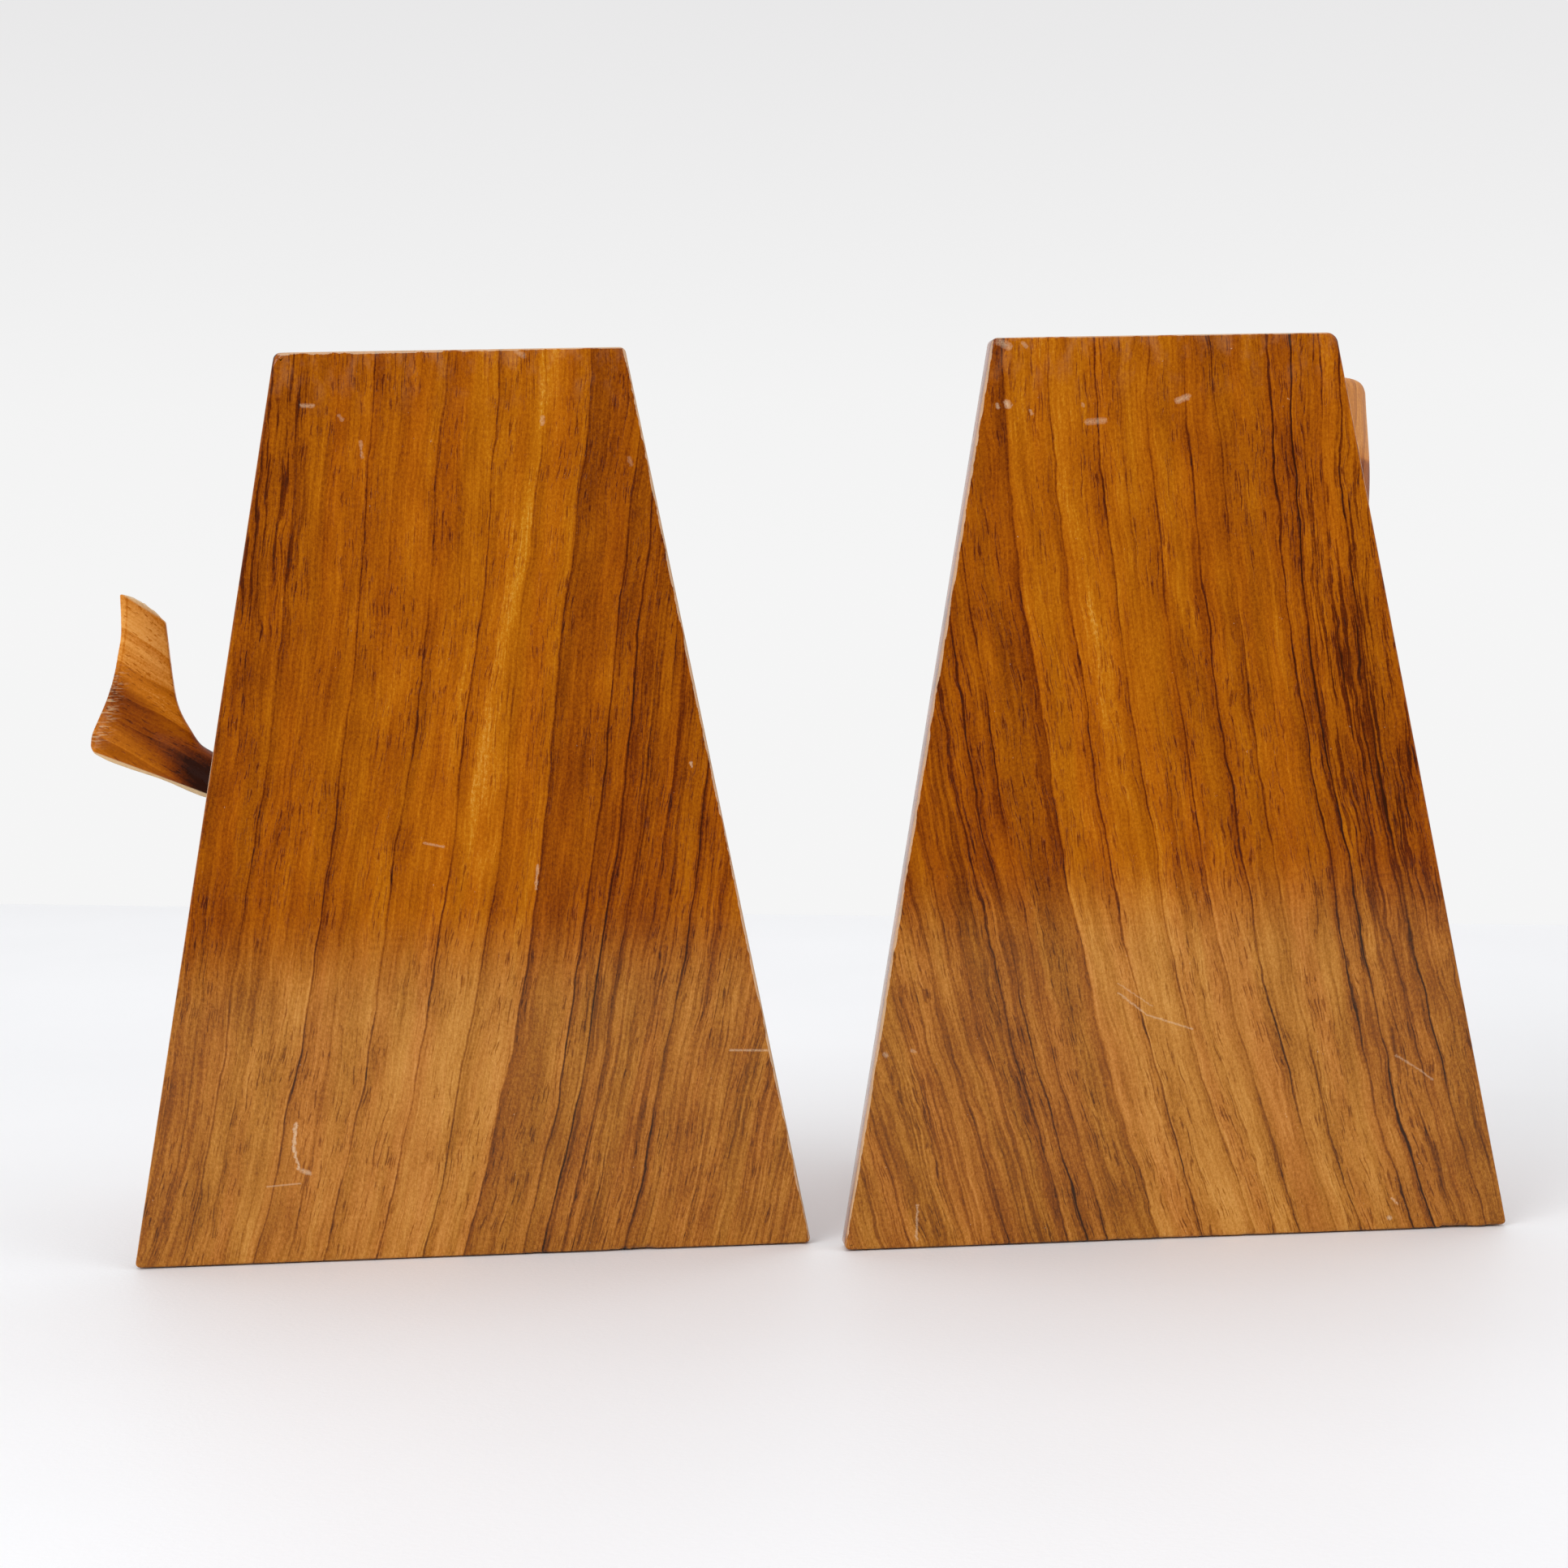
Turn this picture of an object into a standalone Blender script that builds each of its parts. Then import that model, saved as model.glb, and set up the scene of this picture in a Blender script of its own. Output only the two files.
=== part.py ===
"""A pair of wooden book ends: two leaning-sided upright boards cut from one plank, each on its own base
board. A carved whale's tail stands on the left base and a carved whale's head on the right one.

Each book end is modelled in its own frame: x from the board's centre line, y from the face that the
books lean on towards the carving, z up from the shelf. An empty places each frame in the pair.
"""

from math import cos, pi, radians, sin, tan

import bmesh
import bpy
import numpy as np
from mathutils import Matrix, Vector

MM = 0.001
GAP = 0.3 * MM
UP = Vector((0, 0, 1))
AWAY = Vector((0, 1, 0))

# The upright boards and how the pair stands.
BOARD_HEIGHT = 177.7 * MM
BOARD_BOTTOM_WIDTH = 133.0 * MM
BOARD_TOP_WIDTH = 67.8 * MM
BOARD_THICKNESS = 6.5 * MM
BOARD_LIFT = 0.3 * MM
TOP_CORNER_RADIUS = 1.3 * MM
FOOT_CORNER_RADIUS = 0.9 * MM
BOARD_ARRIS = 0.45 * MM
ARRIS_SEGMENTS = 2
SHARP_EDGE = radians(60)
SHARP_SHADING = radians(35)
CORNER_STEPS = 4
PAIR_SPACING = 138.8 * MM
PAIR_STAGGER = 8.6 * MM

# The base boards behind the uprights, which taper in plan.
FELT_THICKNESS = 1.2 * MM
BASE_UNDERSIDE = FELT_THICKNESS + GAP
BASE_THICKNESS = 16.0 * MM
BASE_TOP = BASE_UNDERSIDE + BASE_THICKNESS
BASE_START = BOARD_THICKNESS + GAP
BASE_DEPTH = 90.0 * MM
BASE_NEAR_WIDTH = 112.0 * MM
BASE_FAR_WIDTH = 84.0 * MM
BASE_FAR_RADIUS = 7.0 * MM
BASE_NEAR_RADIUS = 0.8 * MM
BASE_ARRIS = 1.2 * MM
FELT_INSET = 2.0 * MM

# What holds a book end together and weighs it down.
DOWEL_RADIUS = 3.0 * MM
DOWEL_IN_BOARD = 3.8 * MM
DOWEL_IN_BASE = 14.0 * MM
DOWEL_CHAMFER = 0.6 * MM
DOWEL_SPREAD = 38.0 * MM
SCREW_LENGTH = 36.0 * MM
SCREW_RADIUS = 2.1 * MM
SCREW_HEAD_RADIUS = 4.1 * MM
SCREW_HEAD_DEPTH = 2.4 * MM
SCREW_HEAD_RIM = 0.3 * MM
SCREW_POINT_RADIUS = 0.5 * MM
SCREW_TIP = 4.0 * MM
SCREW_SLOT_WIDTH = 1.2 * MM
SCREW_SLOT_LENGTH = 12.3 * MM
SCREW_SLOT_DEPTH = 1.2 * MM
SCREW_SPREAD = 10.0 * MM
SLUG_RADIUS = 15.0 * MM
SLUG_THICKNESS = 8.0 * MM
SLUG_CHAMFER = 0.6 * MM
SLUG_SPREAD = 27.0 * MM
SLUG_DEPTH = 74.0 * MM
DRILL_THROUGH = 2.4 * MM

# The tail: stations of its spine are x, y, z, half-width in its own plane and half-depth, in mm.
TAIL_STOCK = [
    (9, 42, 17.8, 23.5, 21.5),
    (9, 42, 27, 22, 20.5),
    (7, 42.5, 43, 18.5, 17.5),
    (-1, 43.5, 59, 15, 14.5),
    (-15, 45, 72.5, 11, 11),
    (-29, 46, 81.5, 7.6, 7.8),
    (-40, 46, 87.5, 5.4, 5.6),
]
TAIL_STEM = [
    (-40.26, 46, 87.64, 5.4, 5.6),
    (-47, 46, 91.2, 4.4, 4.6),
    (-53.5, 46, 94.9, 4.0, 3.8),
    (-60, 46, 99.2, 3.7, 2.9),
    (-66, 46, 104, 2.2, 1.6),
]
TAIL_FOOT = (9.0 * MM, 42.0 * MM)
TAIL_RINGS = 20
STEM_RINGS = 10
# The flukes lie in one upright plane. Their edges are x, z in mm, from the lower tip to the upper one.
FLUKE_PLANE = 46.0 * MM
FLUKE_LEADING = [
    (-76.7, 99.1),
    (-73.0, 97.2),
    (-65.0, 94.4),
    (-56.5, 91.4),
    (-54.5, 96.5),
    (-56.6, 102.7),
    (-59.3, 108.3),
    (-60.4, 115.3),
    (-61.1, 126.1),
]
FLUKE_TRAILING = [
    (-77.7, 100.7),
    (-77.3, 103.2),
    (-76.0, 106.2),
    (-74.6, 109.2),
    (-73.4, 112.2),
    (-72.3, 115.6),
    (-71.4, 119.4),
    (-70.4, 124.2),
    (-70.0, 132.2),
]
FLUKE_RINGS = 30
FLUKE_CHORD_STEPS = 7
FLUKE_EDGE = 1.0 * MM
FLUKE_MIDDLE = 1.7 * MM
FLUKE_CURL = 5.0 * MM
FLUKE_CURL_CENTRE = 108.0 * MM
FLUKE_CURL_SPAN = 24.0 * MM
STEM_DOWEL_RADIUS = 1.5 * MM
STEM_DOWEL_LENGTH = 14.0 * MM

# The head: stations are x, y, z and the half-widths to the back, to the belly and to each side, in mm.
HEAD_BODY = [
    (-7, 44, 17.8, 21, 21, 20),
    (-6, 44, 34, 21.5, 22, 20.5),
    (0, 44.5, 60, 23, 24.5, 21.5),
    (7, 45.5, 80, 24.5, 26, 22.5),
    (13.5, 46.5, 96, 25.5, 24.5, 23),
    (18.5, 47.5, 110, 26, 20, 22.8),
    (24.2, 49, 128, 25.8, 18.5, 22.6),
    (27.4, 50, 147, 25.2, 18.5, 22),
    (28.3, 50.5, 163.0, 23.8, 18.5, 21),
]
HEAD_FOOT = (-7.0 * MM, 44.0 * MM)
HEAD_RINGS = 20
HEAD_SQUARENESS = 2.5
SPINE_READINGS = 120
HEAD_TURN = radians(40)
HEAD_SLOPE = 0.25
HEAD_SLOPE_START = 125.0 * MM
HEAD_SLOPE_RUN = 40.0 * MM
HEAD_CORNER_ACROSS = 2.8 * MM
HEAD_CORNER_UP = 3.8 * MM
HEAD_DOME = 0.8 * MM
HEAD_DOME_SCALES = (0.6, 0.2)
BACK = Vector((cos(HEAD_TURN), -sin(HEAD_TURN), 0))
SIDE = Vector((sin(HEAD_TURN), cos(HEAD_TURN), 0))

# The lower jaw: height, distance of its middle from the head's centre line, half-width, half-thickness.
JAW = [
    (90, 22.5, 4.6, 2.8),
    (98, 23.2, 5.4, 3.6),
    (112, 24.2, 5.0, 3.4),
    (130, 25.8, 4.2, 2.9),
    (143, 27.4, 3.3, 2.4),
    (148, 28.0, 1.8, 1.4),
]
JAW_RINGS = 14
EYE_HEIGHT = 104.0 * MM
EYE_TURN = radians(12)
EYE_RADIUS = 2.0 * MM
EYE_DEPTH = 5.0 * MM
EYE_PROUD = 0.8 * MM
EYE_DOME_ANGLES = (0, 0.5, 1.0, 1.35)
EYE_DRILL_LENGTH = 10.0 * MM
# A side fin: distance along it, half-width and half-thickness in mm. It starts inside the body.
FIN = [
    (-4, 4.4, 1.9),
    (2, 5.0, 2.1),
    (11, 7.0, 1.9),
    (20, 6.2, 1.5),
    (27, 2.2, 0.9),
]
FIN_RINGS = 12
FIN_HEIGHT = 80.0 * MM
FIN_TURN = radians(22)
FIN_DROP = radians(48)

ROUND = 2.0
RING_POINTS = 26
SLIM_POINTS = 14
ROUND_POINTS = 14
SLUG_POINTS = 28


def clear_scene():
    """Removes what the scene holds at the start."""
    for obj in list(bpy.data.objects):
        bpy.data.objects.remove(obj, do_unlink=True)


def material(name, colour, roughness, metallic=0.0):
    """A plain finish for one kind of piece."""
    finish = bpy.data.materials.new(name)
    finish.use_nodes = True
    shader = finish.node_tree.nodes["Principled BSDF"]
    shader.inputs["Base Color"].default_value = (*colour, 1)
    shader.inputs["Roughness"].default_value = roughness
    shader.inputs["Metallic"].default_value = metallic
    finish.diffuse_color = (*colour, 1)
    return finish


def add_object(name, mesh_data, parent, finish, smooth=True):
    """Turns a bmesh into an object that stands in its book end's frame."""
    bmesh.ops.recalc_face_normals(mesh_data, faces=mesh_data.faces)
    if mesh_data.calc_volume(signed=True) < 0:
        bmesh.ops.reverse_faces(mesh_data, faces=mesh_data.faces)
    mesh = bpy.data.meshes.new(name)
    mesh_data.to_mesh(mesh)
    mesh_data.free()
    if smooth:
        mesh.shade_smooth()
        mesh.set_sharp_from_angle(angle=SHARP_SHADING)
    obj = bpy.data.objects.new(name, mesh)
    bpy.context.scene.collection.objects.link(obj)
    obj.parent = parent
    if finish:
        obj.data.materials.append(finish)
    return obj


def cut(obj, cutter):
    """Takes the cutter's shape out of the object."""
    cutter.hide_render = True
    cutter.display_type = "WIRE"
    boolean = obj.modifiers.new("cut_" + cutter.name, "BOOLEAN")
    boolean.operation = "DIFFERENCE"
    boolean.solver = "EXACT"
    boolean.object = cutter


def join_on(obj, other):
    """Adds the other object's shape to this one."""
    other.hide_render = True
    other.display_type = "WIRE"
    boolean = obj.modifiers.new("join_" + other.name, "BOOLEAN")
    boolean.operation = "UNION"
    boolean.solver = "EXACT"
    boolean.object = other


def add_bevel(obj, width):
    """Rounds the edges where two faces meet sharply."""
    bevel = obj.modifiers.new("arris", "BEVEL")
    bevel.width = width
    bevel.segments = ARRIS_SEGMENTS
    bevel.limit_method = "ANGLE"
    bevel.angle_limit = SHARP_EDGE


def smooth_rows(rows, count):
    """Rows of numbers read from a smooth curve through the given rows, evenly in the rows' index."""
    rows = np.array(rows, float)
    ends = [2 * rows[0] - rows[1]], [2 * rows[-1] - rows[-2]]
    padded = np.concatenate([ends[0], rows, ends[1]])
    places = np.linspace(0, len(rows) - 1, count)
    result = []
    for place in places:
        index = min(int(place), len(rows) - 2)
        t = place - index
        p0, p1, p2, p3 = padded[index : index + 4]
        bend = 2 * p0 - 5 * p1 + 4 * p2 - p3
        twist = 3 * p1 - 3 * p2 + p3 - p0
        result.append(0.5 * (2 * p1 + (p2 - p0) * t + bend * t**2 + twist * t**3))
    return np.array(result)


def super_round(angle, power):
    """A point on a unit circle that is squarer the higher the power."""
    across = abs(cos(angle)) ** (2 / power)
    along = abs(sin(angle)) ** (2 / power)
    return across if cos(angle) > 0 else -across, along if sin(angle) > 0 else -along


def rounded_outline(corners, radii):
    """A closed outline in two dimensions, its corners turned as arcs that touch both sides."""
    points = []
    for index, corner in enumerate(corners):
        here = Vector(corner)
        before = (Vector(corners[index - 1]) - here).normalized()
        after = (Vector(corners[(index + 1) % len(corners)]) - here).normalized()
        half_angle = before.angle(after) / 2
        radius = radii[index]
        centre = here + (before + after).normalized() * radius / sin(half_angle)
        start = here + before * radius / tan(half_angle) - centre
        finish = here + after * radius / tan(half_angle) - centre
        turn = start.angle_signed(finish)
        for step in range(CORNER_STEPS + 1):
            spoke = Matrix.Rotation(-turn * step / CORNER_STEPS, 2) @ start
            points.append(centre + spoke)
    return points


def prism(outline, low, high, place):
    """A bmesh of the outline pushed from low to high; place turns outline and depth into a point."""
    mesh_data = bmesh.new()
    near = [mesh_data.verts.new(place(point, low)) for point in outline]
    face = mesh_data.faces.new(near)
    pushed = bmesh.ops.extrude_face_region(mesh_data, geom=[face])
    moved = [item for item in pushed["geom"] if isinstance(item, bmesh.types.BMVert)]
    shift = place(outline[0], high) - place(outline[0], low)
    bmesh.ops.translate(mesh_data, verts=moved, vec=shift)
    return mesh_data


def loft(rings):
    """A closed bmesh over rings of equally many points, with a fan or a face on each end."""
    mesh_data = bmesh.new()
    loops = [[mesh_data.verts.new(point) for point in ring] for ring in rings]
    for ring, following in zip(loops, loops[1:]):
        for index in range(len(ring)):
            after = (index + 1) % len(ring)
            mesh_data.faces.new((ring[index], ring[after], following[after], following[index]))
    mesh_data.faces.new(loops[0])
    mesh_data.faces.new(loops[-1])
    return mesh_data


def turned(profile, base, axis, points=ROUND_POINTS):
    """A turned bmesh: profile is (distance along the axis, radius) pairs, starting at base."""
    axis = axis.normalized()
    across = axis.orthogonal().normalized()
    beside = axis.cross(across)
    rings = []
    for distance, radius in profile:
        centre = base + axis * distance
        turns = [2 * pi * index / points for index in range(points)]
        rings.append([centre + (across * cos(a) + beside * sin(a)) * radius for a in turns])
    return loft(rings)


def pin(length, radius, chamfer):
    """The profile of a plain pin with chamfered ends."""
    inner = radius - chamfer
    return [(0, inner), (chamfer, radius), (length - chamfer, radius), (length, inner)]


def board_point(point, depth):
    """A point of an upright board's outline at a depth from its book face."""
    return Vector((point[0], depth, point[1]))


def plan_point(point, height):
    """A point of an outline in plan at a height."""
    return Vector((point[0], point[1], height))


def make_upright(side, parent, finish):
    """The upright board with leaning sides, blind holes for three dowels in its back."""
    low, high = BOARD_LIFT, BOARD_LIFT + BOARD_HEIGHT
    half_bottom, half_top = BOARD_BOTTOM_WIDTH / 2, BOARD_TOP_WIDTH / 2
    corners = [(-half_bottom, low), (half_bottom, low), (half_top, high), (-half_top, high)]
    radii = [FOOT_CORNER_RADIUS, FOOT_CORNER_RADIUS, TOP_CORNER_RADIUS, TOP_CORNER_RADIUS]
    outline = rounded_outline(corners, radii)
    shape = prism(outline, 0, BOARD_THICKNESS, board_point)
    board = add_object(f"{side}_upright_board", shape, parent, finish)
    add_bevel(board, BOARD_ARRIS)
    return board


def base_outline(inset):
    """The base board's plan, pulled in all round by inset."""
    near, far = BASE_START + inset, BASE_START + BASE_DEPTH - inset
    half_near, half_far = BASE_NEAR_WIDTH / 2 - inset, BASE_FAR_WIDTH / 2 - inset
    corners = [(-half_near, near), (half_near, near), (half_far, far), (-half_far, far)]
    radii = [BASE_NEAR_RADIUS, BASE_NEAR_RADIUS, BASE_FAR_RADIUS, BASE_FAR_RADIUS]
    return rounded_outline(corners, radii)


def make_base(side, parent, finish):
    """The base board."""
    shape = prism(base_outline(0), BASE_UNDERSIDE, BASE_TOP, plan_point)
    base = add_object(f"{side}_base_board", shape, parent, finish)
    add_bevel(base, BASE_ARRIS)
    return base


def make_felt(side, parent, finish):
    """The sheet of felt under the base board."""
    shape = prism(base_outline(FELT_INSET), 0, FELT_THICKNESS, plan_point)
    return add_object(f"{side}_base_felt", shape, parent, finish)


def make_board_dowels(side, parent, finish, board, base):
    """Three blind dowels between the upright board and the base board."""
    height = BASE_UNDERSIDE + BASE_THICKNESS / 2
    start = BOARD_THICKNESS - DOWEL_IN_BOARD
    length = DOWEL_IN_BOARD + GAP + DOWEL_IN_BASE
    for place, offset in (("left", -DOWEL_SPREAD), ("middle", 0), ("right", DOWEL_SPREAD)):
        foot = Vector((offset, start, height))
        shape = turned(pin(length, DOWEL_RADIUS, DOWEL_CHAMFER), foot, AWAY)
        add_object(f"{side}_board_dowel_{place}", shape, parent, finish)
        hole = [(-GAP, DOWEL_RADIUS + GAP), (length + GAP, DOWEL_RADIUS + GAP)]
        drill = add_object(f"{side}_dowel_drill_{place}", turned(hole, foot, AWAY), parent, None)
        cut(board, drill)
        cut(base, drill)


def screw_profile(grow):
    """A countersunk wood screw's outline from its head to its tip, made bigger all round by grow."""
    neck = SCREW_HEAD_DEPTH + 2 * grow
    shank_end = SCREW_LENGTH - SCREW_TIP
    return [
        (-grow, SCREW_HEAD_RADIUS + grow),
        (SCREW_HEAD_RIM, SCREW_HEAD_RADIUS + grow),
        (neck, SCREW_RADIUS + grow),
        (shank_end + grow, SCREW_RADIUS + grow),
        (SCREW_LENGTH + grow, SCREW_POINT_RADIUS + grow),
    ]


def make_figure_screws(side, parent, finish, base, figure, foot):
    """Two screws up through the base board into the carving, their heads sunk in the underside."""
    for place, offset in (("near", -SCREW_SPREAD), ("far", SCREW_SPREAD)):
        head = Vector((foot[0], foot[1] + offset, BASE_UNDERSIDE + GAP))
        shape = turned(screw_profile(0), head, UP)
        screw = add_object(f"{side}_figure_screw_{place}", shape, parent, finish)
        slot = bmesh.new()
        bmesh.ops.create_cube(slot, size=1)
        size = (SCREW_SLOT_LENGTH, SCREW_SLOT_WIDTH, 2 * SCREW_SLOT_DEPTH)
        bmesh.ops.transform(slot, verts=slot.verts, matrix=Matrix.Diagonal((*size, 1)))
        bmesh.ops.translate(slot, verts=slot.verts, vec=head)
        cut(screw, add_object(f"{side}_slot_{place}", slot, parent, None, smooth=False))
        drill = add_object(f"{side}_drill_{place}", turned(screw_profile(GAP), head, UP), parent, None)
        recess = [(-DRILL_THROUGH, SCREW_HEAD_RADIUS + GAP), (0, SCREW_HEAD_RADIUS + GAP)]
        mouth = add_object(f"{side}_drill_mouth_{place}", turned(recess, head, UP), parent, None)
        cut(base, drill)
        cut(base, mouth)
        cut(figure, drill)


def make_ballast(side, parent, finish, base):
    """Two steel slugs pressed into pockets in the base board's underside."""
    for place, offset in (("left", -SLUG_SPREAD), ("right", SLUG_SPREAD)):
        foot = Vector((offset, SLUG_DEPTH, BASE_UNDERSIDE + GAP))
        slug = turned(pin(SLUG_THICKNESS, SLUG_RADIUS, SLUG_CHAMFER), foot, UP, SLUG_POINTS)
        add_object(f"{side}_ballast_slug_{place}", slug, parent, finish)
        bore = SLUG_RADIUS + GAP
        pocket = [(-DRILL_THROUGH, bore), (SLUG_THICKNESS + GAP, bore)]
        shape = turned(pocket, foot, UP, SLUG_POINTS)
        cut(base, add_object(f"{side}_pocket_{place}", shape, parent, None))


def spine_rings(stations, count):
    """Rings square to a smooth spine. Their second axis stays close to straight away from the board."""
    rows = smooth_rows(stations, count) * MM
    centres = [Vector(row[:3]) for row in rows]
    rings = []
    for index, row in enumerate(rows):
        before = centres[max(index - 1, 0)]
        after = centres[min(index + 1, count - 1)]
        along = (after - before).normalized()
        depth_axis = (AWAY - along * AWAY.dot(along)).normalized()
        width_axis = depth_axis.cross(along).normalized()
        ring = []
        for step in range(RING_POINTS):
            across, deep = super_round(2 * pi * step / RING_POINTS, ROUND)
            ring.append(centres[index] + width_axis * across * row[3] + depth_axis * deep * row[4])
        rings.append(ring)
    return rings


def flatten_foot(ring):
    """Lays a carving's first ring flat, just clear of the base board."""
    return [Vector((point.x, point.y, BASE_TOP + GAP)) for point in ring]


def make_tail_stock(parent, finish):
    """The tail's stock, which rises from the base board and bends to the left."""
    rings = spine_rings(TAIL_STOCK, TAIL_RINGS)
    rings[0] = flatten_foot(rings[0])
    return add_object("left_tail_stock", loft(rings), parent, finish)


def fluke_rings():
    """Closed rings over the flukes' blade, from the lower tip to the upper one."""
    leading = smooth_rows(FLUKE_LEADING, FLUKE_RINGS) * MM
    trailing = smooth_rows(FLUKE_TRAILING, FLUKE_RINGS) * MM
    rings = []
    for front, back in zip(leading, trailing):
        near_side, far_side = [], []
        for step in range(FLUKE_CHORD_STEPS + 1):
            share = step / FLUKE_CHORD_STEPS
            x, z = front + (back - front) * share
            lift = (z - FLUKE_CURL_CENTRE) / FLUKE_CURL_SPAN
            middle = FLUKE_PLANE - FLUKE_CURL * lift**2
            half = FLUKE_EDGE + (FLUKE_MIDDLE - FLUKE_EDGE) * sin(pi * share)
            near_side.append(Vector((x, middle - half, z)))
            far_side.append(Vector((x, middle + half, z)))
        rings.append(near_side + far_side[::-1])
    return rings


def make_flukes(parent, finish, stock):
    """The flukes and their stem, with the dowel that joins them to the tail's stock."""
    shape = loft(spine_rings(TAIL_STEM, STEM_RINGS))
    stem = add_object("left_tail_flukes", shape, parent, finish)
    blade = add_object("left_fluke_blade", loft(fluke_rings()), parent, None)
    join_on(stem, blade)
    joint = Vector(TAIL_STEM[0][:3]) * MM
    along = (Vector(TAIL_STEM[1][:3]) * MM - joint).normalized()
    start = joint - along * STEM_DOWEL_LENGTH / 2
    dowel = turned(pin(STEM_DOWEL_LENGTH, STEM_DOWEL_RADIUS, GAP), start, along)
    add_object("left_fluke_dowel", dowel, parent, finish)
    bore = STEM_DOWEL_RADIUS + GAP
    hole = [(-GAP, bore), (STEM_DOWEL_LENGTH + GAP, bore)]
    drill = add_object("left_fluke_drill", turned(hole, start, along), parent, None)
    cut(stock, drill)
    cut(stem, drill)
    return stem


def head_station(height):
    """The head's centre and its three half-widths at a height, read from its smooth spine."""
    rows = smooth_rows(HEAD_BODY, SPINE_READINGS) * MM
    row = [np.interp(height, rows[:, 2], rows[:, index]) for index in (0, 1, 3, 4, 5)]
    return Vector((row[0], row[1], height)), row[2], row[3], row[4]


def head_rings():
    """Rings of the whale's body and blunt head, flat at the foot and sloped from the back at the top."""
    rows = smooth_rows(HEAD_BODY, HEAD_RINGS) * MM
    rings = [(row[:3], row[3:], 0.0) for row in rows]
    top, halves = rows[-1][:3], rows[-1][3:]
    for step in range(1, CORNER_STEPS + 1):
        angle = pi / 2 * step / CORNER_STEPS
        inset = HEAD_CORNER_ACROSS * (1 - cos(angle))
        rings.append((top, halves - inset, HEAD_CORNER_UP * sin(angle)))
    for scale in HEAD_DOME_SCALES:
        rings.append((top, halves * scale, HEAD_CORNER_UP + HEAD_DOME * (1 - scale**2)))
    result = []
    for centre, (back, belly, side), rise in rings:
        ring = []
        for step in range(RING_POINTS):
            across, along = super_round(2 * pi * step / RING_POINTS, HEAD_SQUARENESS)
            across *= back if across > 0 else belly
            point = Vector(centre) + BACK * across + SIDE * along * side + UP * rise
            share = min(max((point.z - HEAD_SLOPE_START) / HEAD_SLOPE_RUN, 0), 1)
            point.z += HEAD_SLOPE * across * share**2
            ring.append(point)
        result.append(ring)
    result[0] = flatten_foot(result[0])
    return result


def jaw_rings(grow):
    """Rings of the lower jaw, made bigger all round by grow."""
    rings = []
    for height, outside, half_width, half_thick in smooth_rows(JAW, JAW_RINGS) * MM:
        middle = head_station(height)[0] - BACK * outside
        ring = []
        for step in range(SLIM_POINTS):
            angle = 2 * pi * step / SLIM_POINTS
            wide = SIDE * cos(angle) * (half_width + grow)
            ring.append(middle + wide + BACK * sin(angle) * (half_thick + grow))
        rings.append(ring)
    rings[0] = [point - UP * grow for point in rings[0]]
    rings[-1] = [point + UP * grow for point in rings[-1]]
    return rings


def make_jaw(parent, finish, head):
    """The lower jaw, its root let into the throat."""
    add_object("right_lower_jaw", loft(jaw_rings(0)), parent, finish)
    cut(head, add_object("right_jaw_mortise", loft(jaw_rings(GAP)), parent, None))


def outward(turn, hand):
    """A level direction out of the head's side, turned towards the belly."""
    return (SIDE * hand * cos(turn) - BACK * sin(turn)).normalized()


def skin_distance(half_belly, half_side, turn):
    """How far the head's skin is from its centre line in the direction of outward()."""
    across = abs(sin(turn)) / half_belly
    along = abs(cos(turn)) / half_side
    return (across**HEAD_SQUARENESS + along**HEAD_SQUARENESS) ** (-1 / HEAD_SQUARENESS)


def make_eyes(parent, finish, head):
    """Two dark pegs let into the head as eyes, with domed ends."""
    centre, _, half_belly, half_side = head_station(EYE_HEIGHT)
    for place, hand in (("outer", 1), ("inner", -1)):
        direction = outward(EYE_TURN, hand)
        skin = centre + direction * skin_distance(half_belly, half_side, EYE_TURN)
        start = skin - direction * EYE_DEPTH
        dome = [(EYE_DEPTH + EYE_PROUD * sin(a), EYE_RADIUS * cos(a)) for a in EYE_DOME_ANGLES]
        peg = turned([(0, EYE_RADIUS)] + dome, start, direction)
        add_object(f"right_eye_{place}", peg, parent, finish)
        hole = [(-GAP, EYE_RADIUS + GAP), (EYE_DRILL_LENGTH, EYE_RADIUS + GAP)]
        drill = add_object(f"right_eye_drill_{place}", turned(hole, start, direction), parent, None)
        cut(head, drill)


def fin_rings(hand, grow):
    """Rings of one side fin, made bigger all round by grow."""
    centre, _, half_belly, half_side = head_station(FIN_HEIGHT)
    direction = outward(FIN_TURN, hand)
    root = centre + direction * skin_distance(half_belly, half_side, FIN_TURN)
    along = direction * cos(FIN_DROP) - UP * sin(FIN_DROP)
    wide_axis = direction.cross(UP)
    flat_axis = along.cross(wide_axis).normalized()
    rings = []
    for distance, half_width, half_thick in smooth_rows(FIN, FIN_RINGS) * MM:
        ring = []
        for step in range(SLIM_POINTS):
            across, deep = super_round(2 * pi * step / SLIM_POINTS, ROUND)
            wide = wide_axis * across * (half_width + grow)
            ring.append(root + along * distance + wide + flat_axis * deep * (half_thick + grow))
        rings.append(ring)
    rings[0] = [point - along * grow for point in rings[0]]
    return rings


def make_fins(parent, finish, head):
    """Two side fins, each with its root let into the body."""
    for place, hand in (("outer", 1), ("inner", -1)):
        add_object(f"right_fin_{place}", loft(fin_rings(hand, 0)), parent, finish)
        cut(head, add_object(f"right_fin_mortise_{place}", loft(fin_rings(hand, GAP)), parent, None))


def make_stand(side, parent, finishes):
    """The upright, base and felt of one book end, with their dowels and ballast."""
    board = make_upright(side, parent, finishes["board"])
    base = make_base(side, parent, finishes["base"])
    make_felt(side, parent, finishes["felt"])
    make_board_dowels(side, parent, finishes["dowel"], board, base)
    make_ballast(side, parent, finishes["steel"], base)
    return base


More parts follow.
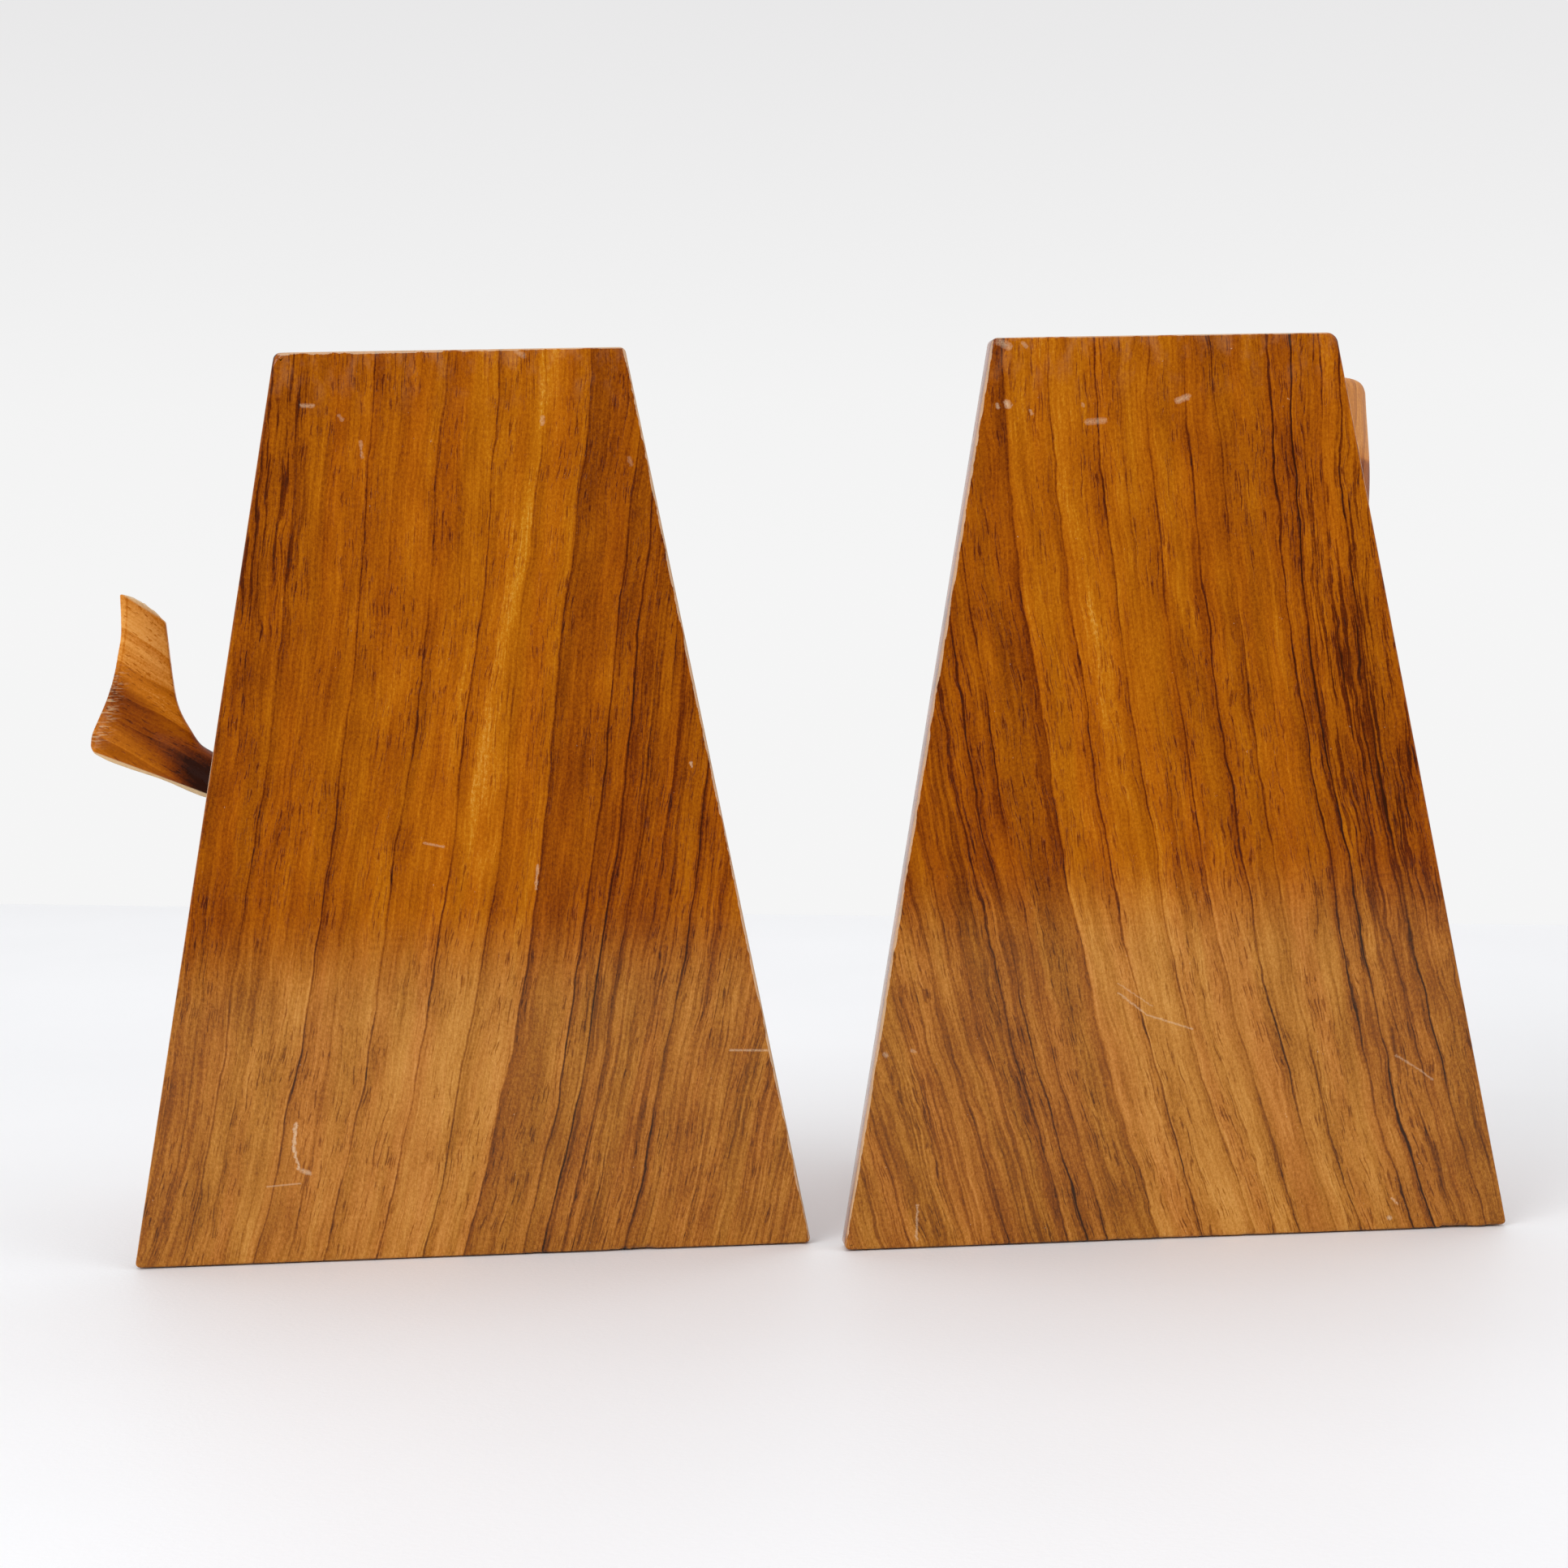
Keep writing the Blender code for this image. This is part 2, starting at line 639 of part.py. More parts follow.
def make_left(parent, finishes):
    """The left book end, with the whale's tail."""
    base = make_stand("left", parent, finishes)
    stock = make_tail_stock(parent, finishes["carving"])
    make_flukes(parent, finishes["carving"], stock)
    make_figure_screws("left", parent, finishes["brass"], base, stock, TAIL_FOOT)


def make_right(parent, finishes):
    """The right book end, with the whale's head."""
    base = make_stand("right", parent, finishes)
    head = add_object("right_whale_head", loft(head_rings()), parent, finishes["carving"])
    make_jaw(parent, finishes["carving"], head)
    make_eyes(parent, finishes["eye"], head)
    make_fins(parent, finishes["carving"], head)
    make_figure_screws("right", parent, finishes["brass"], base, head, HEAD_FOOT)


def add_frame(name, x, y):
    """An empty that holds one book end."""
    frame = bpy.data.objects.new(name, None)
    frame.location = (x, y, 0)
    bpy.context.scene.collection.objects.link(frame)
    return frame


def centre_pair(frames):
    """Moves the pair so that its box stands on the origin, centred in x and y."""
    bpy.context.view_layer.update()
    graph = bpy.context.evaluated_depsgraph_get()
    low, high = Vector((1, 1, 1)), Vector((-1, -1, -1))
    for obj in bpy.data.objects:
        if obj.type != "MESH" or obj.hide_render:
            continue
        shape = obj.evaluated_get(graph)
        for vert in shape.to_mesh().vertices:
            point = shape.matrix_world @ vert.co
            low = Vector(map(min, low, point))
            high = Vector(map(max, high, point))
        shape.to_mesh_clear()
    for frame in frames:
        frame.location -= Vector(((low.x + high.x) / 2, (low.y + high.y) / 2, low.z))


def main():
    clear_scene()
    finishes = {
        "board": material("walnut_board", (0.33, 0.12, 0.022), 0.35),
        "base": material("walnut_base", (0.28, 0.11, 0.03), 0.4),
        "carving": material("walnut_carving", (0.42, 0.2, 0.07), 0.4),
        "dowel": material("birch_dowel", (0.62, 0.44, 0.25), 0.6),
        "steel": material("steel", (0.45, 0.45, 0.46), 0.4, 1.0),
        "brass": material("brass", (0.65, 0.45, 0.18), 0.35, 1.0),
        "eye": material("ebony_eye", (0.02, 0.014, 0.01), 0.3),
        "felt": material("felt", (0.03, 0.07, 0.04), 0.95),
    }
    left = add_frame("left_book_end", -PAIR_SPACING / 2, 0)
    right = add_frame("right_book_end", PAIR_SPACING / 2, -PAIR_STAGGER)
    make_left(left, finishes)
    make_right(right, finishes)
    centre_pair((left, right))


main()
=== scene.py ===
"""A pair of walnut book ends seen from the side that books lean on, on a pale table.

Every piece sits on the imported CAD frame. Book-end measures are in millimetres from that book end's own
origin: x from the board's centre line, y from its book face towards the carving, z up from the table.
"""

from math import cos, pi, radians, sin, tan

import bmesh
import bpy
import numpy as np
from mathutils import Matrix, Vector, noise


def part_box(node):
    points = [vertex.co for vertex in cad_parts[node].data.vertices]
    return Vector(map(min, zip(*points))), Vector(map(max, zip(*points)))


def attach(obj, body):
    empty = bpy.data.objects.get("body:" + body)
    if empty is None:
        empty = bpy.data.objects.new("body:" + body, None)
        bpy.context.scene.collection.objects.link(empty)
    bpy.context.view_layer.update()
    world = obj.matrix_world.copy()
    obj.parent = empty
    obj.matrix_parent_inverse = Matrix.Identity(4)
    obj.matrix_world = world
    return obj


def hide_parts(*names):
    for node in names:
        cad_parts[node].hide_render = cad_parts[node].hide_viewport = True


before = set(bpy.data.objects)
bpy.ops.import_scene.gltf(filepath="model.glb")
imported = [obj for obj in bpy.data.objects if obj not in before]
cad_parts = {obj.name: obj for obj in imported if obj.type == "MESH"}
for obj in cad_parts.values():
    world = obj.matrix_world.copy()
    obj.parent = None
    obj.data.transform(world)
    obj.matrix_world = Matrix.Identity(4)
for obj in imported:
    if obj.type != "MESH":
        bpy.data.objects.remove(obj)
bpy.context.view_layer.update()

MM = 0.001
UP = Vector((0, 0, 1))
AWAY = Vector((0, 1, 0))
GAP = 0.3


def board_origin(side):
    """The book end's own origin, read from its upright board in the frame."""
    low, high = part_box(f"{side}_upright_board")
    return Vector(((low.x + high.x) / 2, low.y, 0))


ORIGIN = {"left": board_origin("left"), "right": board_origin("right")}
BODY = {"left": "left_book_end", "right": "right_book_end"}

# The upright boards.
BOARD_LIFT, BOARD_HEIGHT, BOARD_THICKNESS = 0.3, 177.7, 6.5
BOARD_TOP = BOARD_LIFT + BOARD_HEIGHT
BOARD_BOTTOM_WIDTH, BOARD_TOP_WIDTH = 133.0, 67.8
TOP_CORNER_RADIUS, FOOT_CORNER_RADIUS, BOARD_ARRIS = 1.3, 0.9, 0.45
WORN_CORNER_RADIUS = 2.4
# How uneven an arris is: the size and the amount of its broad and of its fine waves.
BOARD_WAVES = ((14, 0.07), (3.5, 0.04))
BASE_WAVES = ((12, 0.15), (3, 0.08))

# The base boards and their felt.
FELT_THICKNESS, BASE_THICKNESS, BASE_ARRIS, FELT_INSET = 1.2, 16.0, 1.2, 2.0
FELT_EDGE, FELT_RAGGEDNESS = 0.3, 0.12
BASE_UNDERSIDE = FELT_THICKNESS + GAP
BASE_TOP = BASE_UNDERSIDE + BASE_THICKNESS
BASE_START, BASE_DEPTH = BOARD_THICKNESS + GAP, 90.0
BASE_NEAR_WIDTH, BASE_FAR_WIDTH = 112.0, 84.0
BASE_NEAR_RADIUS, BASE_FAR_RADIUS = 0.8, 7.0

# The dowels, screws and ballast, which the boards and carvings are bored for.
DOWEL_RADIUS, DOWEL_START, DOWEL_END, DOWEL_SPREAD = 3.0, 2.7, 20.8, 38.0
SCREW_LENGTH, SCREW_RADIUS, SCREW_HEAD_RADIUS, SCREW_HEAD_DEPTH, SCREW_TIP = 36.0, 2.1, 4.1, 2.4, 4.0
SCREW_HEAD_RIM, SCREW_POINT_RADIUS, SCREW_SPREAD = 0.3, 0.5, 10.0
SLUG_RADIUS, SLUG_THICKNESS, SLUG_SPREAD, SLUG_DEPTH = 15.0, 8.0, 27.0, 74.0
# How far the cutters for slugs and screw heads start below the holes' mouths.
CUTTER_RUN_UP = 3.0

# The tail: x, y, z, half-width in its own plane, half-depth.
TAIL_STOCK = [
    (9, 42, 17.8, 23.5, 21.5), (9, 42, 27, 22, 20.5), (7, 42.5, 43, 18.5, 17.5),
    (-1, 43.5, 59, 15, 14.5), (-15, 45, 72.5, 11, 11), (-29, 46, 81.5, 7.6, 7.8),
    (-40, 46, 87.5, 5.4, 5.6),
]
TAIL_STEM = [
    (-40.26, 46, 87.64, 5.4, 5.6), (-47, 46, 91.2, 4.4, 4.6), (-53.5, 46, 94.9, 4.0, 3.8),
    (-60, 46, 99.2, 3.7, 2.9), (-66, 46, 104, 2.2, 1.6),
]
TAIL_FOOT = (9.0, 42.0)
FLUKE_PLANE, FLUKE_EDGE, FLUKE_MIDDLE = 46.0, 1.0, 1.7
FLUKE_CURL, FLUKE_CURL_CENTRE, FLUKE_CURL_SPAN = 5.0, 108.0, 24.0
FLUKE_LEADING = [
    (-76.7, 99.1), (-73.0, 97.2), (-64.0, 93.8), (-52.5, 89.2), (-51.6, 95.0), (-56.2, 102.4),
    (-59.3, 108.3), (-60.4, 115.3), (-61.1, 126.1),
]
FLUKE_TRAILING = [
    (-77.7, 100.7), (-77.3, 103.2), (-76.0, 106.2), (-74.6, 109.2), (-73.4, 112.2), (-72.3, 115.6),
    (-71.4, 119.4), (-70.4, 124.2), (-70.0, 132.2),
]
FLUKE_CROWN, FLUKE_CHAMFER, FLUKE_CHAMFER_WIDTH = 1.3, 0.45, 1.5
STEM_DOWEL_RADIUS, STEM_DOWEL_LENGTH = 1.5, 14.0
# The stem runs on past the joint and is sawn off there.
STEM_RUN_ON, STEM_RUN_ON_HALVES, SAW_REACH, SAW_RADIUS = 3.0, (5.9, 6.1), 8.0, 12.0
# Stem and flukes are joined, remeshed and smoothed, most of all round their root.
FLUKE_VOXEL, FLUKE_SMOOTHING = 0.3, 4
FLUKE_ROOT, ROOT_REACH, ROOT_FADE, ROOT_SMOOTHING = Vector((-55.0, 46.0, 95.0)), 13.0, 6.0, 70

# The head: x, y, z and the half-widths to the back, to the belly and to each side.
HEAD_BODY = [
    (-7, 44, 17.8, 21, 21, 20), (-6, 44, 34, 21.5, 22, 20.5), (0, 44.5, 60, 23, 24.5, 21.5),
    (7, 45.5, 80, 24.5, 26, 22.5), (13.5, 46.5, 96, 25.5, 24.5, 23),
    (18.5, 47.5, 110, 26, 20, 22.8), (24.2, 49, 128, 25.8, 18.5, 22.6),
    (27.4, 50, 147, 25.2, 18.5, 22), (28.3, 50.5, 163.0, 23.8, 18.5, 21),
]
HEAD_FOOT = (-7.0, 44.0)
HEAD_SQUARENESS, HEAD_TURN = 2.5, radians(40)
HEAD_SLOPE, HEAD_SLOPE_START, HEAD_SLOPE_RUN = 0.25, 125.0, 40.0
HEAD_CORNER_ACROSS, HEAD_CORNER_UP, HEAD_DOME = 4.0, 3.6, 0.6
HEAD_CORNER_STEPS, HEAD_DOME_STEPS = 12, 22
# How far inside these rows the head's skin lies.
HEAD_EASE = 0.5
# The throat grooves: how many and how deep, where they begin and end, and how they fade there.
THROAT_GROOVES, THROAT_DEPTH = 7, 0.55
THROAT_LOW, THROAT_LOW_FADE, THROAT_HIGH, THROAT_HIGH_FADE = 48.0, 10.0, 92.0, 8.0
THROAT_HALF_WIDTH, THROAT_SIDE_FADE = 0.62, 0.08
BACK = Vector((cos(HEAD_TURN), -sin(HEAD_TURN), 0))
SIDE = Vector((sin(HEAD_TURN), cos(HEAD_TURN), 0))
JAW = [
    (90, 22.5, 4.6, 2.8), (98, 23.2, 5.4, 3.6), (112, 24.2, 5.0, 3.4), (130, 25.8, 4.2, 2.9),
    (143, 27.4, 3.3, 2.4), (148, 28.0, 1.8, 1.4),
]
EYE_HEIGHT, EYE_TURN, EYE_RADIUS, EYE_DEPTH, EYE_PROUD = 104.0, radians(12), 2.0, 5.0, 0.8
EYE_PEG_CHAMFER = 0.3
FIN = [(-4, 4.4, 1.9), (2, 5.0, 2.1), (11, 7.0, 1.9), (20, 6.2, 1.5), (27, 2.2, 0.9)]
FIN_HEIGHT, FIN_TURN, FIN_DROP, FIN_TIP = 80.0, radians(22), radians(48), 0.5
CREASE = radians(40)


# ---------------------------------------------------------------- shapes


def within_one(value):
    return max(0.0, min(1.0, value))


def smooth_rows(rows, count):
    """Rows read from a smooth curve through the given rows, evenly in the rows' index."""
    rows = np.array(rows, float)
    padded = np.concatenate([[2 * rows[0] - rows[1]], rows, [2 * rows[-1] - rows[-2]]])
    result = []
    for place in np.linspace(0, len(rows) - 1, count):
        index = min(int(place), len(rows) - 2)
        t = place - index
        p0, p1, p2, p3 = padded[index : index + 4]
        bend = 2 * p0 - 5 * p1 + 4 * p2 - p3
        twist = 3 * p1 - 3 * p2 + p3 - p0
        result.append(0.5 * (2 * p1 + (p2 - p0) * t + bend * t**2 + twist * t**3))
    return np.array(result)


def super_round(angle, power):
    """A point on a unit circle that is squarer the higher the power."""
    across = abs(cos(angle)) ** (2 / power)
    along = abs(sin(angle)) ** (2 / power)
    return across if cos(angle) > 0 else -across, along if sin(angle) > 0 else -along


def rounded_outline(corners, radii, steps):
    """A closed flat outline whose corners, given counter-clockwise, are arcs that touch both sides."""
    points = []
    for index, corner in enumerate(corners):
        here = Vector(corner)
        before = (Vector(corners[index - 1]) - here).normalized()
        after = (Vector(corners[(index + 1) % len(corners)]) - here).normalized()
        half_angle = before.angle(after) / 2
        radius = radii[index]
        centre = here + (before + after).normalized() * radius / sin(half_angle)
        start = here + before * radius / tan(half_angle) - centre
        finish = here + after * radius / tan(half_angle) - centre
        turn = start.angle_signed(finish)
        for step in range(steps + 1):
            points.append(centre + Matrix.Rotation(-turn * step / steps, 2) @ start)
    return points


def tapered_outline(half_low, half_high, low, high, radii, steps=8):
    """A trapezium with rounded corners, from half the widths and the places of its two level sides."""
    corners = [(-half_low, low), (half_low, low), (half_high, high), (-half_high, high)]
    return rounded_outline(corners, radii, steps)


def divided(outline, spacing):
    """The outline with its long sides divided into short steps."""
    points = []
    for index, here in enumerate(outline):
        after = outline[(index + 1) % len(outline)]
        parts = max(1, round((after - here).length / spacing))
        points += [here.lerp(after, part / parts) for part in range(parts)]
    return points


def solid(name, verts, faces, side, finish, sharp=CREASE):
    """A mesh object at its book end's origin, from points in millimetres."""
    mesh = bpy.data.meshes.new(name)
    mesh.from_pydata([Vector(v) * MM for v in verts], [], faces)
    work = bmesh.new()
    work.from_mesh(mesh)
    bmesh.ops.recalc_face_normals(work, faces=work.faces)
    if work.calc_volume(signed=True) < 0:
        bmesh.ops.reverse_faces(work, faces=work.faces)
    work.to_mesh(mesh)
    work.free()
    mesh.shade_smooth()
    mesh.set_sharp_from_angle(angle=sharp)
    obj = bpy.data.objects.new(name, mesh)
    bpy.context.scene.collection.objects.link(obj)
    obj.location = ORIGIN[side]
    if finish:
        mesh.materials.append(finish)
    return obj


def ring_faces(count, rings):
    """Quads between rings of equally many points, and a face on each end."""
    faces = []
    for row in range(rings - 1):
        start, above = row * count, (row + 1) * count
        for index in range(count):
            after = (index + 1) % count
            faces.append((start + index, start + after, above + after, above + index))
    last = (rings - 1) * count
    return faces + [tuple(range(count))] + [tuple(range(last, last + count))]


def loft(name, rings, side, finish, sharp=CREASE):
    """A closed skin over rings of points."""
    verts = [point for ring in rings for point in ring]
    return solid(name, verts, ring_faces(len(rings[0]), len(rings)), side, finish, sharp)


def oval(centre, wide_axis, thick_axis, half_width, half_thick, points):
    """Points round an oval."""
    turns = [2 * pi * step / points for step in range(points)]
    return [centre + (wide_axis * cos(a) * half_width + thick_axis * sin(a) * half_thick) for a in turns]


def turned(name, profile, base, axis, side, finish=None, points=48):
    """A turned piece: profile is (distance along the axis, radius) pairs, starting at base."""
    axis = axis.normalized()
    across = axis.orthogonal().normalized()
    beside = axis.cross(across)
    rings = [oval(base + axis * at, across, beside, radius, radius, points) for at, radius in profile]
    return loft(name, rings, side, finish)


def reshape(obj, others, operation):
    """Joins the others to obj, or takes them out of it, for good."""
    for other in others:
        boolean = obj.modifiers.new(other.name, "BOOLEAN")
        boolean.operation = operation
        boolean.solver = "EXACT"
        boolean.object = other
    settle(obj)
    for other in others:
        bpy.data.objects.remove(other, do_unlink=True)


def settle(obj):
    """Makes the modifiers' result the object's own mesh."""
    bpy.context.view_layer.update()
    graph = bpy.context.evaluated_depsgraph_get()
    mesh = bpy.data.meshes.new_from_object(obj.evaluated_get(graph))
    obj.modifiers.clear()
    obj.data = mesh


ARC_STEPS = 6
EDGE_SUPPORT = 0.25


def slab(name, outline, low, high, arris, place, side, finish):
    """A board with its edges rounded by arris(point, near), which can vary round the outline."""
    count = len(outline)
    verts = []
    for near in (True, False):
        for step in range(-1, ARC_STEPS + 1):
            turn = pi / 2 * max(step, 0) / ARC_STEPS
            for index, point in enumerate(outline):
                before, after = outline[index - 1], outline[(index + 1) % count]
                along = (after - before).normalized()
                inward = Vector((-along.y, along.x))
                radius = arris(point, near)
                inset = radius * (1 - sin(turn)) + (EDGE_SUPPORT if step < 0 else 0)
                deep = radius * (1 - cos(turn))
                spot = point + inward * inset
                verts.append(place(spot, low + deep if near else high - deep))
    rings = ARC_STEPS + 2
    order = list(range(rings)) + list(range(2 * rings - 1, rings - 1, -1))
    verts = [verts[row * count + index] for row in order for index in range(count)]
    return solid(name, verts, ring_faces(count, 2 * rings), side, finish, radians(60))


def upright_point(point, depth):
    return Vector((point.x, depth, point.y))


def plan_point(point, height):
    return Vector((point.x, point.y, height))


def rough(point, size, amount, seed):
    """A smooth random amount at a point, from -amount to amount."""
    return amount * noise.noise(Vector((point.x / size, point.y / size, seed * 7.3)))


# Bites out of the arris at the front: x, z, reach along the edge, extra radius.
CHIPS = {
    "left": [(31.5, 0.3, 5.5, 0.9), (-33.5, 178, 2.5, 0.7), (7, 178, 1.5, 0.25), (12, 0.3, 2.0, 0.3)],
    "right": [
        (54, 0.3, 6.0, 0.8), (4, 0.3, 20.0, 0.35), (-31, 178, 4.0, 0.5), (-66, 2, 2.0, 0.6),
        (64, 1, 2.5, 0.6),
    ],
}


def make_board(side, finish):
    half_bottom, half_top = BOARD_BOTTOM_WIDTH / 2, BOARD_TOP_WIDTH / 2
    worn_corner = WORN_CORNER_RADIUS if side == "right" else TOP_CORNER_RADIUS
    radii = [FOOT_CORNER_RADIUS, FOOT_CORNER_RADIUS, worn_corner, TOP_CORNER_RADIUS]
    outline = divided(tapered_outline(half_bottom, half_top, BOARD_LIFT, BOARD_TOP, radii), 0.8)
    seed = 1 if side == "left" else 2

    def arris(point, near):
        broad, fine = BOARD_WAVES
        radius = BOARD_ARRIS + rough(point, *broad, seed) + rough(point, *fine, seed + 5)
        for x, z, reach, extra in CHIPS[side] if near else []:
            apart = (point - Vector((x, z))).length / reach
            ragged = 1 + 1.6 * rough(point, 1.3, 1, seed + 9)
            radius += max(0, 1 - apart**2) * extra * max(0, ragged)
        return max(0.2, radius)

    name = f"{side}_board_planed"
    return slab(name, outline, 0, BOARD_THICKNESS, arris, upright_point, side, finish)


def base_outline(inset):
    near, far = BASE_START + inset, BASE_START + BASE_DEPTH - inset
    half_near, half_far = BASE_NEAR_WIDTH / 2 - inset, BASE_FAR_WIDTH / 2 - inset
    radii = [BASE_NEAR_RADIUS, BASE_NEAR_RADIUS, BASE_FAR_RADIUS, BASE_FAR_RADIUS]
    return tapered_outline(half_near, half_far, near, far, radii, 14)


def make_base(side, finish):
    outline = divided(base_outline(0), 1.5)

    def arris(point, near):
        broad, fine = BASE_WAVES
        return BASE_ARRIS + rough(point, *broad, 11) + rough(point, *fine, 12)

    name = f"{side}_base_planed"
    return slab(name, outline, BASE_UNDERSIDE, BASE_TOP, arris, plan_point, side, finish)


def make_felt(side, finish):
    outline = divided(base_outline(FELT_INSET), 0.8)
    frayed = []
    for point in outline:
        shift = (rough(point, 1.7, FELT_RAGGEDNESS, 3), rough(point, 1.9, FELT_RAGGEDNESS, 4))
        frayed.append(point + Vector(shift))

    def arris(point, near):
        return FELT_EDGE + rough(point, 1.5, 0.1, 13)

    return slab(f"{side}_felt_sheet", frayed, 0, FELT_THICKNESS, arris, plan_point, side, finish)


# The bore for a countersunk wood screw: distance from the head and radius, with a gap all round.
SCREW_BORE = [
    (-GAP, SCREW_HEAD_RADIUS + GAP),
    (SCREW_HEAD_RIM, SCREW_HEAD_RADIUS + GAP),
    (SCREW_HEAD_DEPTH + 2 * GAP, SCREW_RADIUS + GAP),
    (SCREW_LENGTH - SCREW_TIP + GAP, SCREW_RADIUS + GAP),
    (SCREW_LENGTH + GAP, SCREW_POINT_RADIUS + GAP),
]


def bore_stand(side, board, base, figure, foot):
    """Bores the boards and the carving for the dowels, screws and ballast."""

    def drill(name, profile, x, y, z, axis=UP, points=48):
        return turned(name, profile, Vector((x, y, z)), axis, side, points=points)

    middle, seat = BASE_UNDERSIDE + BASE_THICKNESS / 2, BASE_UNDERSIDE + GAP
    dowel, slug, screw_head = DOWEL_RADIUS + GAP, SLUG_RADIUS + GAP, SCREW_HEAD_RADIUS + GAP
    dowel_hole = [(-GAP, dowel), (DOWEL_END - DOWEL_START + GAP, dowel)]
    pocket = [(-CUTTER_RUN_UP, slug), (SLUG_THICKNESS + GAP, slug)]
    mouth = [(-CUTTER_RUN_UP, screw_head), (0, screw_head)]
    screw_places = [(foot[0], foot[1] + offset, seat) for offset in (-SCREW_SPREAD, SCREW_SPREAD)]
    for piece in (board, base):
        drills = []
        for offset in (-DOWEL_SPREAD, 0, DOWEL_SPREAD):
            drills.append(drill("dowel_drill", dowel_hole, offset, DOWEL_START, middle, AWAY))
        if piece is base:
            for offset in (-SLUG_SPREAD, SLUG_SPREAD):
                drills.append(drill("pocket", pocket, offset, SLUG_DEPTH, seat, points=96))
            for place in screw_places:
                drills.append(drill("screw_drill", SCREW_BORE, *place))
                drills.append(drill("screw_mouth", mouth, *place))
        reshape(piece, drills, "DIFFERENCE")
    reshape(figure, [drill("screw_drill", SCREW_BORE, *place) for place in screw_places], "DIFFERENCE")


def spine_rings(stations, count, points):
    """Rings square to a smooth spine."""
    rows = smooth_rows(stations, count)
    centres = [Vector(row[:3]) for row in rows]
    rings = []
    for index, row in enumerate(rows):
        before, after = centres[max(index - 1, 0)], centres[min(index + 1, count - 1)]
        along = (after - before).normalized()
        depth_axis = (AWAY - along * AWAY.dot(along)).normalized()
        width_axis = depth_axis.cross(along).normalized()
        rings.append(oval(centres[index], width_axis, depth_axis, row[3], row[4], points))
    return rings


def foot_rings(ring, arris=0.7, steps=5):
    """A carving's flat foot with its edge rounded, from the underside up to the given ring."""
    middle = sum((Vector(p) for p in ring), Vector()) / len(ring)
    floor = BASE_TOP + GAP
    rings = []
    for step in range(steps + 1):
        turn = pi / 2 * step / steps
        share = arris * (1 - sin(turn))
        lifted = []
        for point in ring:
            out = Vector((point.x - middle.x, point.y - middle.y, 0)).normalized()
            lifted.append(Vector((point.x, point.y, floor + arris * (1 - cos(turn)))) - out * share)
        rings.append(lifted)
    return rings


def make_tail_stock(finish):
    rings = spine_rings(TAIL_STOCK, 150, 120)
    return loft("left_tail_stock_carved", foot_rings(rings[0]) + rings[4:], "left", finish)


def fluke_rings(count=150, chord_steps=34):
    """Rings over the flukes' blade, from the lower tip to the upper one."""
    leading, trailing = smooth_rows(FLUKE_LEADING, count), smooth_rows(FLUKE_TRAILING, count)
    rings = []
    for front, back in zip(leading, trailing):
        near_side, far_side = [], []
        width = float(np.linalg.norm(back - front))
        for step in range(chord_steps + 1):
            share = step / chord_steps
            x, z = front + (back - front) * share
            lift = (z - FLUKE_CURL_CENTRE) / FLUKE_CURL_SPAN
            middle = FLUKE_PLANE - FLUKE_CURL * lift**2
            half = FLUKE_EDGE + (FLUKE_MIDDLE - FLUKE_EDGE) * sin(pi * share)
            from_trailing = (1 - share) * width
            chamfer = FLUKE_CHAMFER * max(0, 1 - from_trailing / FLUKE_CHAMFER_WIDTH)
            near_side.append(Vector((x, middle - half + chamfer, z)))
            far_side.append(Vector((x, middle + half, z)))
        rings.append(near_side + far_side[::-1])
    crown = [sin(pi * step / chord_steps) for step in range(chord_steps + 1)]
    for share in (0.5, 0.85, 1.0):
        lift = [FLUKE_CROWN * share * amount for amount in crown + crown[::-1]]
        rings.append([point + UP * rise for point, rise in zip(rings[count - 1], lift)])
    return rings


def smoothing(obj, iterations):
    modifier = obj.modifiers.new("smooth", "SMOOTH")
    modifier.iterations = iterations
    modifier.factor = 0.5
    return modifier


def make_flukes(finish, stock):
    joint = Vector(TAIL_STEM[0][:3])
    along = (Vector(TAIL_STEM[1][:3]) - joint).normalized()
    run_on = tuple(joint - along * STEM_RUN_ON) + STEM_RUN_ON_HALVES
    rings = spine_rings([run_on] + TAIL_STEM, 90, 72)
    flukes = loft("left_tail_flukes_carved", rings, "left", finish)
    reshape(flukes, [loft("blade", fluke_rings(), "left", None)], "UNION")
    remesh = flukes.modifiers.new("remesh", "REMESH")
    remesh.mode = "VOXEL"
    remesh.voxel_size = FLUKE_VOXEL * MM
    smoothing(flukes, FLUKE_SMOOTHING)
    settle(flukes)
    near_root = flukes.vertex_groups.new(name="root")
    for vert in flukes.data.vertices:
        apart = (vert.co / MM - FLUKE_ROOT).length
        near_root.add([vert.index], within_one((ROOT_REACH - apart) / ROOT_FADE), "REPLACE")
    smoothing(flukes, ROOT_SMOOTHING).vertex_group = "root"
    settle(flukes)
    bore = STEM_DOWEL_RADIUS + GAP
    hole = [(-GAP, bore), (STEM_DOWEL_LENGTH + GAP, bore)]
    saw = turned("saw", [(-SAW_REACH, SAW_RADIUS), (0, SAW_RADIUS)], joint, along, "left")
    drills = [turned("drill", hole, joint - along * STEM_DOWEL_LENGTH / 2, along, "left") for _ in range(2)]
    reshape(flukes, [saw, drills[0]], "DIFFERENCE")
    flukes.data.shade_smooth()
    flukes.data.set_sharp_from_angle(angle=radians(45))
    reshape(stock, drills[1:], "DIFFERENCE")
    return flukes


def head_station(height):
    """The head's centre and half-widths to the belly and to the side at a height."""
    rows = smooth_rows(HEAD_BODY, 200)
    row = [np.interp(height, rows[:, 2], rows[:, index]) for index in (0, 1, 4, 5)]
    return Vector((row[0], row[1], height)), row[2], row[3]


